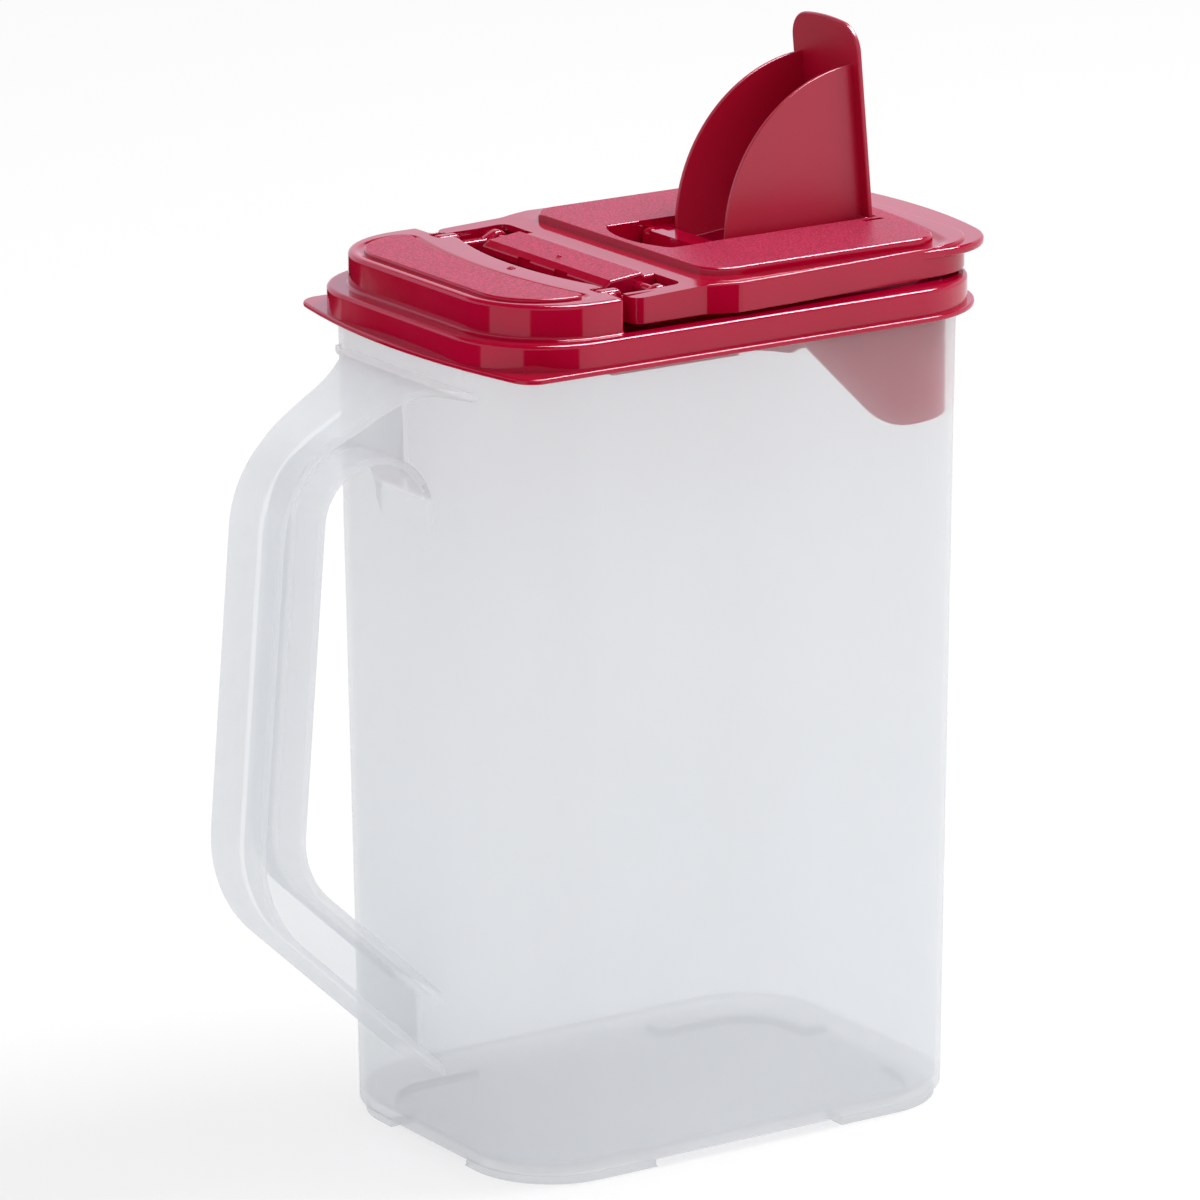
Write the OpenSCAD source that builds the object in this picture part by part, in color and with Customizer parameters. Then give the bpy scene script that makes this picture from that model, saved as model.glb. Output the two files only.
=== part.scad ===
// Cereal keeper: a tall moulded jug with a loop handle, a lift-off lid, a pour flap and a flip-up spout.
// +X runs to the pouring end, the handle is at -X, +Z is up. Each piece is drawn about the middle of the jug,
// then moved along X so that the origin lies under the middle of the whole part's length.

/* [Jug] */
// Outer length of the jug at its base
jug_length = 156.4; // [140:0.2:180]
// Outer width of the jug at its base
jug_width = 106.5; // [98:0.1:130]
// Radius of the jug's upright corners
jug_corner = 27.2; // [20:0.1:30]
// Height of the rim above the feet
jug_height = 242; // [200:0.5:300]
// Lean of the side walls, in degrees
jug_lean = 0.756; // [0.3:0.01:1.2]
// Side wall thickness
jug_wall = 1.6; // [1.2:0.05:2]
// Floor thickness
floor_wall = 1.8; // [1.2:0.1:3]

/* [Feet] */
// Height of the corner feet
foot_height = 2.5; // [1.5:0.1:4]
// Distance from the jug's base edge in to the feet
foot_inset = 2.2; // [1:0.1:5]
// Width of a foot pad
foot_band = 8; // [5:0.5:12]
// Gap between the feet on a long side
foot_gap_long = 64; // [30:1:90]
// Gap between the feet on a short side
foot_gap_short = 40; // [20:1:50]

/* [Handle] */
// Width of the handle's two flanges
handle_width = 27; // [20:0.5:34]
// Thickness of the flanges
flange_wall = 2.4; // [1.8:0.1:3]
// Thickness of the web between the flanges
web_wall = 2.4; // [1.6:0.1:3]
// Depth of the grip from its outer to its inner face
grip_depth = 15.1; // [12:0.1:20]
// Depth of the lower arm from face to face
arm_depth = 17.6; // [13:0.1:22]
// Distance from the jug's middle to the upper corner of the handle
handle_reach_top = 128.9; // [124:0.1:136]
// Distance from the jug's rim down to the upper corner
handle_drop = 34.9; // [30:0.1:45]
// Distance from the jug's middle to the lower corner
handle_reach_low = 139.8; // [134:0.1:148]
// Height of the lower corner
handle_corner_low = 83; // [70:0.5:95]
// Slope of the upper arm, in degrees
arm_slope_top = 28; // [22:0.1:31]
// Slope of the lower arm, in degrees
arm_slope_low = 43.4; // [36:0.1:48]
// Bend radius at the upper corner
bend_top = 35.5; // [28:0.5:38]
// Bend radius at the lower corner
bend_low = 40; // [32:0.5:45]
// Distance from the jug's rim down to the centre of the arch over the fingers
arch_drop = 52; // [50:0.5:64]
// Distance from the jug's rim down to the flat root of the upper arm
root_drop = 13.5; // [12:0.1:18]
// Width of the root along the rear wall
root_width = 71.4; // [60:0.2:76]
// Width of the upper arm where it starts to spread
neck_width = 33; // [30:0.5:38]
// Radius of the curves from the arm's sides to the root
flare_radius = 21.5; // [14:0.5:24]

/* [Lid] */
// Gap between the jug's rim and the lid all round
rim_gap = 0.3; // [0.2:0.05:0.5]
// Thickness of the lid's outer skirt
skirt_wall = 1.5; // [1.2:0.05:2]
// Height of the lid's skirt below the ledge
skirt_height = 9; // [6:0.1:12]
// Thickness of the ledge
ledge_wall = 1.9; // [1.4:0.05:2.4]
// Reach of the bottom flange past the skirt
lip_reach = 2; // [1:0.1:3]
// Thickness of the bottom flange
lip_wall = 1.5; // [1:0.1:2.5]
// Bow of the flange's rear edge at the middle
rear_bow = 2.6; // [1:0.1:4]
// Radius of the flange's rear corners
rear_corner = 7; // [4:0.5:14]
// Depth of the plug that sits inside the jug's mouth
plug_depth = 6; // [3:0.5:9]
// Thickness of the lid's inner walls
inner_wall = 1.4; // [1:0.1:1.8]
// Inset of the deck's side wall from the skirt's outer face
deck_inset = 4.3; // [3.5:0.1:6]
// Height of the deck above the ledge
deck_height = 9.8; // [8:0.1:13]
// Thickness of the deck
deck_wall = 1.8; // [1.4:0.1:2.4]
// Distance from the jug's middle back to the deck's front edge
deck_front = 45; // [44:0.5:48]
// Radius of the deck's hollow front edge
deck_arc = 125; // [100:1:160]
// Rise of the textured panel on the deck
panel_rise = 0.7; // [0.4:0.1:1]
// Margin between the deck's edge and the panel
panel_margin = 4.7; // [3:0.1:8]

/* [Baffle] */
// Gap between the jug's inner wall and the baffle
baffle_gap = 2.6; // [1.5:0.1:4]
// Depth of the baffle below the flange at the pouring end
baffle_depth = 32; // [15:0.5:45]
// Where the baffle's lower edge starts, ahead of the jug's middle
baffle_start = 11; // [5:0.5:20]
// Length of the baffle's sloping lower edge
baffle_run = 42.5; // [30:0.5:50]

/* [Flap] */
// Half width of the flap over the hinge
flap_half_rear = 52; // [50:0.1:53.3]
// Half width of the flap at its widest
flap_half = 55.2; // [54:0.1:55.5]
// Half width of the flap where its front corners start
flap_half_front = 50.3; // [48:0.1:52]
// Radius of the flap's front corners
flap_corner = 19; // [17:0.5:26]
// Front face of the flap, ahead of the jug's middle
flap_front = 83; // [82:0.1:85]
// Gap between the ledge and the flap's lower edge
flap_gap = 1.1; // [0.6:0.1:2]
// Thickness of the flap
flap_wall = 1.6; // [1.2:0.1:2]
// Rise of the plateau above the flap's margin
plateau_rise = 2.2; // [1.5:0.1:3]
// Half width of the plateau
plateau_half = 47; // [40:0.5:48]
// Corner radius of the plateau
plateau_corner = 9; // [6:0.5:16]
// Reach of the pouring lip past the flap's front face
pour_lip_reach = 11; // [6:0.5:14]
// Half width of the pouring lip
pour_lip_half = 51; // [40:0.1:51.5]
// Thickness of the pouring lip
pour_lip_wall = 2; // [1.2:0.1:2.6]
// Drop of the pouring lip below the flap's margin
pour_lip_drop = 1.3; // [0.3:0.1:2]
// Half width of the thumb lever
lever_half = 31.5; // [25:0.1:33]
// Radius of the thumb lever's rounded rear end
lever_end = 5; // [3:0.1:5.5]

/* [Flap hinge] */
// Distance of the flap's hinge behind the jug's middle
hinge_back = 24; // [23:0.1:26]
// Diameter of the flap's hinge pins
pin_dia = 3.8; // [3:0.1:4]
// Gap all round a hinge pin
pin_gap = 0.1; // [0.05:0.01:0.1]
// Wall of the hinge ears round the pin
ear_wall = 1.7; // [1.4:0.1:1.9]
// Width of a hinge ear
ear_width = 4; // [3:0.1:5]
// Distance from the middle to a hinge ear
ear_side = 41.5; // [40:0.1:42]

/* [Spout] */
// Length of the spout's plate from its hinge
plate_length = 58.6; // [50:0.1:60]
// Width of the spout's plate
plate_width = 32.6; // [30:0.1:36]
// Thickness of the spout's plate
plate_wall = 1.5; // [1.2:0.1:1.8]
// Corner radius of the plate's tip
plate_corner = 8; // [7:0.5:12]
// Radius of the spout's cheeks
cheek_radius = 46.3; // [38:0.1:47]
// Distance between the outer faces of the cheeks
cheek_span = 26; // [20:0.1:27]
// Thickness of a cheek
cheek_wall = 1.2; // [1:0.1:1.6]
// Distance of the spout's hinge ahead of the jug's middle
spout_hinge = 64; // [62:0.1:65]
// Angle of the open spout from its closed place, in degrees
spout_open = 85; // [70:1:90]
// Diameter of the spout's hinge pins
spout_pin_dia = 3; // [2.4:0.1:3.2]
// Length of a spout hinge pin past the plate
spout_pin_length = 5; // [3:0.1:6]

/* [Hidden] */
$fn = 96;
eps = 0.01;                                     // overlap that joins touching solids
big = 400;                                      // larger than anything in the part
seat_gap = 0.1;                                 // gap between the jug's rim and the lid's underside
small_gap = 0.4;                                // gap between moulded faces that pass each other
wide_gap = 0.8;                                 // gap where a turning edge needs more room

lean_run = tan(jug_lean);
ledge_z = jug_height + seat_gap + ledge_wall;
flange_z = ledge_z - skirt_height;
deck_z = ledge_z + deck_height;

rim_half_x = jug_length / 2 + jug_height * lean_run;
rim_half_y = jug_width / 2 + jug_height * lean_run;
skirt_half_x = rim_half_x + rim_gap + skirt_wall;
skirt_half_y = rim_half_y + rim_gap + skirt_wall;
skirt_corner = jug_corner + rim_gap + skirt_wall;
plug_half_x = rim_half_x - jug_wall - rim_gap - plug_depth * lean_run;
plug_half_y = rim_half_y - jug_wall - rim_gap - plug_depth * lean_run;
plug_corner = jug_corner - jug_wall - rim_gap;
plug_z = jug_height - plug_depth;

deck_half_y = skirt_half_y - deck_inset;
deck_rear_inset = 0.9;                          // the deck's rear wall stands a little further in
deck_back = skirt_half_x - deck_inset - deck_rear_inset;
deck_side_front = 43;                           // the deck's front face outside the hinge ears
deck_mid_front = 40;                            // its front face between them
deck_corner = skirt_corner - 1.5;
notch_half = 46;                                // half width between the flap's two rails
panel_half = 46.5;
panel_front = 56;                               // the panel's front edge at the middle
panel_arc = 187;
panel_corner = deck_corner - 9;
rear_square = 4.4;                              // extra bow that squares the flange's rear corners
rear_overhang = rear_bow / 4;                   // how far the bowed rear edge passes the skirt's lip

pocket_front = 7.5;                             // front wall of the pocket under the thumb lever
pocket_side = 0.9;                              // its side walls fit beside the jug's wall
pocket_half = plug_half_y - pocket_side;
opening_back = -2;                              // rear edge of the lid's pour opening
opening_half = plug_half_y - 7;
opening_front = plug_half_x - 5.5;
opening_corner = 20;

hinge_z = ledge_z + 6;
flap_z = ledge_z + flap_gap;
margin_z = deck_z;
plateau_z = margin_z + plateau_rise;
plateau_rear = -10.5;
plateau_front = flap_front - 8.8;
plateau_arc = 160;
lip_arc = 150;
lip_corner = 22;
flap_rear = hinge_back + 14.5;
flap_wide_x = [-8, 12, 46];                     // where the flap's sides bend
flap_wide_in = [0, 0.8, 1.5];                   // how its half width differs there
slot_front = 17.8;                              // front of the slots beside the lever
bore_dia = pin_dia + 2 * pin_gap;
wall_low = hinge_z - pin_dia / 2 - 1;           // lower edge of the walls that hold the hinge pins
rail_drop = 0.6;                                // the rails' tops lie below the flap's margin
lever_top = margin_z + 0.7;                     // the lever is highest at its front edge
lever_crest = hinge_back - 1.5;
lever_tip = flap_rear - 0.3 - lever_end;
lever_low = margin_z - 1;                       // height of the lever where its end rounds off
pocket_depth = 1.2;
pocket_z = hinge_z - norm([flap_rear - hinge_back, hinge_z - flap_z]) - pocket_depth;

seal_z = flap_z + 1;
seal_gap = 0.5;
seal_wall = 1.2;
seal_back = 12;                                 // the seal rib ends here, ahead of the jug's middle

plate_lift = 0.9;                               // the plate's inner face above the hinge line
knuckle_radius = plate_lift + plate_wall - 0.2;
knuckle_room = knuckle_radius + wide_gap;
spout_z = plateau_z - 2.2;
spout_bore_dia = spout_pin_dia + 2 * pin_gap;
plate_hole_half = plate_width / 2 + small_gap;
pin_hole_half = plate_width / 2 + spout_pin_length + small_gap;
plate_arch = 75;                                // radius of the plate's bowed tip
block_half = 4;
slit_side = plate_width / 2 + spout_pin_length - 1.9;
slit_length = 6.5;
slit_width = 1.8;
slit_low = spout_z + spout_pin_dia / 2 - 0.7;   // the slits open onto the pins' upper sides
hole_front = spout_hinge + plate_lift + plate_wall + wide_gap;
sill_z = spout_z + plate_lift - small_gap;
recess_z = sill_z - small_gap;
well_z = plateau_z - 7;
collar_height = well_z - flap_wall - small_gap - ledge_z;   // the lid's collar stays under the well's tub
well_rear = -7;
well_half = 14.6;
well_corner = 9;
sill_back = spout_hinge - plate_length + 2.6;   // the plate's tip reaches past the sill, over the well
sill_wall = 4;
cheek_hole_back = spout_hinge - cheek_radius - 1.4;
cheek_hole_half = cheek_span / 2 + 0.6;
ear_rise = 1.6;                                 // height of an ear's bar above its round end
snap_share = 0.84;                              // the snap-in mouth's height, as a share of the pin
baffle_shoulder = 6;                            // drop of the baffle's edge where its steep stretch starts
baffle_toe = 6.5;                               // its height above the lowest edge where that stretch ends

// ---- shared shapes ----

// A rounded rectangle about the origin, from its half sizes.
module rounded(half_x, half_y, radius) {
  square([2 * half_x, 2 * (half_y - radius)], center = true);
  square([2 * (half_x - radius), 2 * half_y], center = true);
  for (sx = [-1, 1], sy = [-1, 1])
    translate([sx * (half_x - radius), sy * (half_y - radius)]) circle(r = radius);
}

// Lays a flat shape at height z and gives it a height.
module plate(z, height) {
  translate([0, 0, z]) linear_extrude(height) children();
}

// Stands a flat XZ shape up and gives it a width along Y.
module upright(width) {
  rotate([90, 0, 0]) linear_extrude(width, center = true) children();
}

// A wedge block between z = low and z = high whose four sides lean outward.
module leaning_block(half_x, half_y, low, high) {
  run_low = low * lean_run;
  run_high = high * lean_run;
  intersection() {
    upright(big)
      polygon([[-half_x - run_low, low], [half_x + run_low, low],
               [half_x + run_high, high], [-half_x - run_high, high]]);
    rotate([90, 0, 90]) linear_extrude(big, center = true)
      polygon([[-half_y - run_low, low], [half_y + run_low, low],
               [half_y + run_high, high], [-half_y - run_high, high]]);
  }
}

// The jug's leaning shape between two heights, moved in from its outer face by inset.
module jug_shape(inset, low, high) {
  radius = jug_corner - inset;
  half_x = jug_length / 2 - jug_corner;
  half_y = jug_width / 2 - jug_corner;
  tilt = atan(sqrt(2) * lean_run);
  leaning_block(half_x + radius, half_y, low, high);
  leaning_block(half_x, half_y + radius, low, high);
  intersection() {
    translate([-big / 2, -big / 2, low]) cube([big, big, high - low]);
    for (sx = [-1, 1], sy = [-1, 1])
      translate([sx * half_x, sy * half_y, 0])
        rotate([0, tilt, atan2(sy, sx)])
          translate([0, 0, -jug_corner]) cylinder(r = radius * cos(jug_lean), h = high + 2 * jug_corner);
  }
}

// ---- jug ----

function jug_x(z) = jug_length / 2 + z * lean_run;

handle_corner_top = jug_height - handle_drop;
arch_height = jug_height - arch_drop;
root_top = jug_height - root_drop;
root_reach = 0.8;                               // the root stands this far proud of the wall
neck_length = 16;                               // the arm widens over this length

// The handle's outline in the XZ plane: upper arm, grip and lower arm, each as a point and a direction.
corner_top = [-handle_reach_top, handle_corner_top];
corner_low = [-handle_reach_low, handle_corner_low];
dir_top = [cos(arm_slope_top), sin(arm_slope_top)];
dir_grip = (corner_top - corner_low) / norm(corner_top - corner_low);
dir_low = [cos(arm_slope_low), -sin(arm_slope_low)];
grip_lean = 90 - atan2(dir_grip[1], dir_grip[0]);
turn_top = 90 - grip_lean - arm_slope_top;
turn_low = 90 + grip_lean - arm_slope_low;

function bend_run(radius, turn) = radius * tan(turn / 2);

// Inward normals of the three straight runs.
in_top = [sin(arm_slope_top), -cos(arm_slope_top)];
in_grip = [cos(grip_lean), -sin(grip_lean)];
in_low = [sin(arm_slope_low), cos(arm_slope_low)];

bend_top_a = corner_top + bend_run(bend_top, turn_top) * dir_top;
bend_top_b = corner_top - bend_run(bend_top, turn_top) * dir_grip;
bend_top_centre = bend_top_a + bend_top * in_top;
bend_low_a = corner_low + bend_run(bend_low, turn_low) * dir_grip;
bend_low_b = corner_low + bend_run(bend_low, turn_low) * dir_low;
bend_low_centre = bend_low_b + bend_low * in_low;

// Where a run from a point along a direction meets an upright line inside the jug's wall.
function to_wall(p, d) = p + d * ((-jug_x(p[1]) + 2 * jug_wall - p[0]) / d[0]);

// The finger gap's corner and arch, measured on the inner flange's outer face.
inner_depth = grip_depth - flange_wall;
inner_arm_depth = arm_depth - flange_wall;
bend_inner = bend_low - (inner_depth + inner_arm_depth) / 2;
inner_corner = let (
    p = corner_low + inner_depth * in_grip,
    q = corner_low + inner_arm_depth * in_low,
    k = ((q[0] - p[0]) * dir_low[1] - (q[1] - p[1]) * dir_low[0])
        / (dir_grip[0] * dir_low[1] - dir_grip[1] * dir_low[0])
  ) p + k * dir_grip;
inner_a = inner_corner + bend_run(bend_inner, turn_low) * dir_grip;
inner_b = inner_corner + bend_run(bend_inner, turn_low) * dir_low;
inner_centre = inner_b + bend_inner * in_low;
// Where the upper arm's slope turns level, on a face moved in by depth.
function root_turn(depth) = let (p = bend_top_a + depth * in_top)
  p + dir_top * ((root_top - depth - p[1]) / dir_top[1]);
root_inside = -jug_x(root_top) + 2 * jug_wall;
arch_wall = -jug_x(arch_height) + jug_wall / 4;
arch_line = inner_corner[0] + (arch_height - inner_corner[1]) * tan(grip_lean);
arch_radius = (arch_wall - arch_line) / (1 + 1 / cos(grip_lean));
arch_centre = [arch_wall - arch_radius, arch_height];
arch_end = arch_centre - arch_radius * in_grip;

// The whole area inside the handle's outer face, moved in by depth.
module handle_area(depth) {
  polygon([[root_inside, root_top - depth], root_turn(depth), bend_top_a + depth * in_top,
           bend_top_b + depth * in_grip, bend_low_a + depth * in_grip,
           bend_low_b + depth * in_low, to_wall(bend_low_b, dir_low) + depth * in_low]);
  translate(bend_top_centre) circle(r = bend_top - depth);
  translate(bend_low_centre) circle(r = bend_low - depth);
}

// The area inside the inner flange's outer face, moved in by depth towards the fingers.
module finger_area(depth) {
  polygon([to_wall(inner_b, dir_low) + depth * in_low, inner_b + depth * in_low,
           inner_a + depth * in_grip, arch_end + depth * in_grip,
           arch_centre, [0, arch_centre[1]], [0, inner_corner[1]]]);
  translate(inner_centre) circle(r = bend_inner - depth);
  translate(arch_centre) circle(r = arch_radius - depth);
}

module outer_flange() {
  difference() {
    handle_area(0);
    handle_area(flange_wall);
  }
}

// Two flanges and a web between their middles. What runs past the wall is cut off by the jug's hollow.
module handle() {
  upright(handle_width) outer_flange();
  upright(handle_width) difference() {
    finger_area(0);
    finger_area(flange_wall);
  }
  upright(web_wall) difference() {
    handle_area(flange_wall / 2);
    finger_area(flange_wall / 2);
  }
}

// Half of the spreading arm seen from above: it widens, then curves out to the root along the wall.
module flare_outline() {
  face = -jug_x(root_top) - root_reach;
  start = face - flare_radius;
  neck = neck_width / 2;
  difference() {
    polygon([[start - neck_length, 0], [start - neck_length, handle_width / 2], [start, neck],
             [start, root_width / 2], [root_inside, root_width / 2], [root_inside, 0]]);
    translate([start, neck + flare_radius]) circle(r = flare_radius);
  }
}

module flare() {
  intersection() {
    upright(root_width) outer_flange();
    plate(arch_height, big) {
      flare_outline();
      mirror([0, 1]) flare_outline();
    }
  }
}

module feet() {
  inset = foot_inset;
  plate(0, foot_height + eps)
    difference() {
      rounded(jug_length / 2 - inset, jug_width / 2 - inset, jug_corner - inset);
      rounded(jug_length / 2 - inset - foot_band, jug_width / 2 - inset - foot_band,
              jug_corner - inset - foot_band);
      square([foot_gap_long, big], center = true);
      square([big, foot_gap_short], center = true);
    }
}

module jug() color([0.86, 0.88, 0.90, 0.6]) translate([middle_x, 0, 0]) {
  feet();
  difference() {
    union() {
      jug_shape(0, foot_height, jug_height);
      handle();
      flare();
    }
    jug_shape(jug_wall, foot_height + floor_wall, jug_height + 1);
  }
}

// The whole part reaches from the handle's lower bend to the pouring lip's tip.
handle_end = bend_low_centre[0] - bend_low;
middle_x = -(handle_end + flap_front + pour_lip_reach) / 2;

// ---- lid base ----

// The flange's outline: round corners in front, squarish ones behind on a bowed edge.
module flange_outline() {
  half_x = skirt_half_x + lip_reach;
  half_y = skirt_half_y + lip_reach;
  bow = half_y * half_y / (2 * (rear_bow + rear_square));
  bow_centre = -half_x - rear_overhang + bow;
  corner_y = half_y - rear_corner;
  corner_x = bow_centre - sqrt(pow(bow - rear_corner, 2) - corner_y * corner_y);
  intersection() {
    union() {
      rounded(half_x, half_y, skirt_corner + lip_reach);
      translate([corner_x, -half_y]) square([-corner_x, 2 * half_y]);
      translate([-big / 2, -corner_y]) square([big / 2, 2 * corner_y]);
      for (side = [-1, 1]) translate([corner_x, side * corner_y]) circle(r = rear_corner);
    }
    union() {
      translate([bow_centre, 0]) circle(r = bow);
      translate([0, -big / 2]) square([big, big]);
    }
  }
}

module deck_outline(inset) {
  difference() {
    intersection() {
      rounded(deck_back - inset, deck_half_y - inset, deck_corner - inset);
      union() {
        translate([-big - deck_side_front - inset, -big / 2]) square([big, big]);
        translate([-big - deck_mid_front - inset, -notch_half + inset])
          square([big, 2 * (notch_half - inset)]);
      }
    }
    translate([deck_arc - deck_front, 0]) circle(r = deck_arc + inset);
  }
}

module panel_outline() {
  difference() {
    intersection() {
      rounded(deck_back - panel_margin, panel_half, panel_corner);
      translate([-big, -big / 2]) square([big, big]);
    }
    translate([panel_arc - panel_front, 0]) circle(r = panel_arc);
  }
}

module opening_outline(inset) {
  difference() {
    rounded(opening_front - inset, opening_half - inset, opening_corner - inset);
    translate([-big + opening_back + inset, -big / 2]) square([big, big]);
  }
}

// The pocket under the thumb lever, from behind the deck's front edge to its own front wall.
module pocket_outline(grow, grow_side) {
  translate([-deck_front - 2 * inner_wall, -pocket_half - grow_side])
    square([deck_front - pocket_front + 2 * inner_wall + grow, 2 * (pocket_half + grow_side)]);
}

// A U-shaped skirt that hangs inside the pouring end and keeps the food off the opening's edge.
module baffle() {
  half_x = rim_half_x - jug_wall - baffle_gap;
  half_y = rim_half_y - jug_wall - baffle_gap;
  radius = jug_corner - jug_wall - baffle_gap;
  low = flange_z - baffle_depth;
  intersection() {
    plate(low, baffle_depth + skirt_height - ledge_wall / 2)
      difference() {
        rounded(half_x, half_y, radius);
        rounded(half_x - inner_wall, half_y - inner_wall, radius - inner_wall);
      }
    upright(big)
      polygon([[baffle_start, ledge_z], [baffle_start, flange_z - baffle_shoulder / 3],
               [baffle_start + baffle_run / 4, flange_z - baffle_shoulder],
               [baffle_start + baffle_run * 3 / 4, low + baffle_toe],
               [baffle_start + baffle_run, low], [big, low], [big, ledge_z]]);
  }
}

// A hinge ear on the deck's front wall, with a snap-in bore for the flap's pin.
module ear() {
  radius = bore_dia / 2 + ear_wall;
  upright(ear_width)
    difference() {
      union() {
        translate([-hinge_back, hinge_z]) circle(r = radius);
        translate([-deck_front, hinge_z - radius])
          square([deck_front - hinge_back, radius + ear_rise]);
      }
      translate([-hinge_back, hinge_z]) circle(d = bore_dia);
      translate([-hinge_back, hinge_z - pin_dia * snap_share / 2]) square([big, pin_dia * snap_share]);
    }
}

module skirt() {
  plate(flange_z, lip_wall) difference() {
    flange_outline();
    rounded(skirt_half_x - skirt_wall, skirt_half_y - skirt_wall, skirt_corner - skirt_wall);
  }
  plate(flange_z, skirt_height) difference() {
    rounded(skirt_half_x, skirt_half_y, skirt_corner);
    rounded(skirt_half_x - skirt_wall, skirt_half_y - skirt_wall, skirt_corner - skirt_wall);
  }
}

module ledge() {
  plate(ledge_z - ledge_wall, ledge_wall) difference() {
    rounded(skirt_half_x - skirt_wall / 2, skirt_half_y - skirt_wall / 2, skirt_corner - skirt_wall / 2);
    deck_outline(deck_wall);
    pocket_outline(0, 0);
    opening_outline(0);
  }
}

// The plug stands inside the jug's mouth and is open where the pocket passes.
module plug() {
  plate(plug_z, ledge_z - ledge_wall / 2 - plug_z) difference() {
    rounded(plug_half_x, plug_half_y, plug_corner);
    rounded(plug_half_x - inner_wall, plug_half_y - inner_wall, plug_corner - inner_wall);
    translate([-deck_front - inner_wall, -big / 2]) square([deck_front - pocket_front + inner_wall, big]);
  }
}

module deck() {
  difference() {
    plate(ledge_z - ledge_wall, deck_height + ledge_wall) deck_outline(0);
    plate(0, deck_z - deck_wall) deck_outline(deck_wall);
  }
  plate(deck_z - eps, panel_rise) panel_outline();
}

// The deck's front wall carries on down to the pocket's floor.
module pocket() {
  low = pocket_z - inner_wall;
  difference() {
    plate(low, ledge_z - low) pocket_outline(inner_wall, pocket_side);
    plate(pocket_z, big) pocket_outline(0, 0);
    plate(0, big) deck_outline(inner_wall);
  }
  plate(low, ledge_z - low) intersection() {
    difference() {
      deck_outline(0);
      deck_outline(inner_wall);
    }
    pocket_outline(0, pocket_side);
  }
}

module collar() {
  plate(ledge_z - ledge_wall, collar_height + ledge_wall) difference() {
    opening_outline(-inner_wall);
    opening_outline(0);
  }
}

module lid_base() color([0.75, 0.13, 0.27]) translate([middle_x, 0, 0]) {
  skirt();
  ledge();
  plug();
  deck();
  pocket();
  collar();
  baffle();
  for (side = [-1, 1]) translate([0, side * ear_side, 0]) ear();
}

// ---- flap ----

module flap_outline(inset) {
  r = flap_corner - inset;
  cx = flap_front - flap_corner;
  cy = flap_half_front - flap_corner;
  half = [[-flap_rear + inset, flap_half_rear - inset], [-slot_front, flap_half_rear - inset],
          [flap_wide_x[0], flap_half - flap_wide_in[0] - inset],
          [flap_wide_x[1], flap_half - flap_wide_in[1] - inset],
          [flap_wide_x[2], flap_half_front + flap_wide_in[2] - inset],
          [cx, cy + r], [cx, cy], [cx + r, cy]];
  polygon(concat(half, [for (i = [len(half) - 1:-1:0]) [half[i][0], -half[i][1]]]));
  for (side = [-1, 1]) translate([cx, side * cy]) circle(r = r);
}

// A shape with a bowed front edge and round corners, from back to tip and half wide.
module bowed_outline(back, tip, half, arc, corner) {
  corner_y = half - corner;
  corner_x = tip - arc + sqrt(pow(arc - corner, 2) - corner_y * corner_y);
  intersection() {
    translate([tip - arc, 0]) circle(r = arc);
    union() {
      translate([back, -corner_y]) square([big, 2 * corner_y]);
      translate([back, -half]) square([corner_x - back, 2 * half]);
      for (side = [-1, 1]) translate([corner_x, side * corner_y]) circle(r = corner);
    }
  }
}

module plateau_outline(inset) {
  half = plateau_half - inset;
  corner = plateau_corner - inset;
  difference() {
    bowed_outline(plateau_rear + inset, plateau_front - inset, half, plateau_arc - inset, corner);
    for (side = [-1, 1])
      translate([plateau_rear + inset, side * half]) difference() {
        square(2 * corner, center = true);
        translate([corner, -side * corner]) circle(r = corner);
      }
  }
}

module well_outline(grow) {
  radius = well_corner + grow;
  half = well_half + grow;
  left_x = well_rear - grow;
  translate([left_x + radius, -half]) square([sill_back + grow - left_x - radius, 2 * half]);
  translate([left_x, -half + radius]) square([radius + 1, 2 * (half - radius)]);
  for (side = [-1, 1]) translate([left_x + radius, side * (half - radius)]) circle(r = radius);
}

// A block over the flap's middle, between two distances ahead of the jug's middle.
module middle_block(from, to, half, low, high) {
  translate([from, -half, low]) cube([to - from, 2 * half, high - low]);
}

module flap_shell() {
  difference() {
    plate(flap_z, margin_z - flap_z) flap_outline(0);
    plate(0, margin_z - flap_wall) flap_outline(flap_wall);
  }
  difference() {
    plate(margin_z - flap_wall, plateau_z - margin_z + flap_wall) plateau_outline(0);
    plate(0, plateau_z - flap_wall) plateau_outline(flap_wall);
  }
  plate(margin_z - pour_lip_drop - pour_lip_wall, pour_lip_wall) difference() {
    bowed_outline(flap_front - flap_corner, flap_front + pour_lip_reach, pour_lip_half, lip_arc, lip_corner);
    flap_outline(flap_wall);
  }
}

// Walls beside and in front of the slots. They hold the outer ends of the hinge pins.
module slot_walls() {
  top = margin_z - flap_wall / 2;
  for (side = [-1, 1])
    translate([0, side * (notch_half + flap_wall / 2), 0])
      middle_block(-flap_rear + eps, -slot_front + flap_wall, flap_wall / 2, wall_low, top);
  middle_block(-slot_front, -slot_front + flap_wall, notch_half + flap_wall, wall_low, top);
}

// The thumb lever's side view, moved in from its top by inset.
module lever_profile(inset) {
  polygon([[-slot_front + flap_wall, wall_low], [-slot_front + flap_wall, margin_z - inset],
           [-lever_crest, lever_top - inset], [-lever_tip, lever_low - inset], [-lever_tip, wall_low]]);
  intersection() {
    translate([-lever_tip, lever_low - lever_end]) circle(r = lever_end - inset);
    translate([-big, wall_low]) square([big, big]);
  }
}

module lever() {
  upright(2 * lever_half) difference() {
    lever_profile(0);
    translate([0, -eps]) lever_profile(flap_wall);
  }
  for (side = [-1, 1])
    translate([0, side * (lever_half - flap_wall / 2), 0]) upright(flap_wall) lever_profile(0);
}

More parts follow.
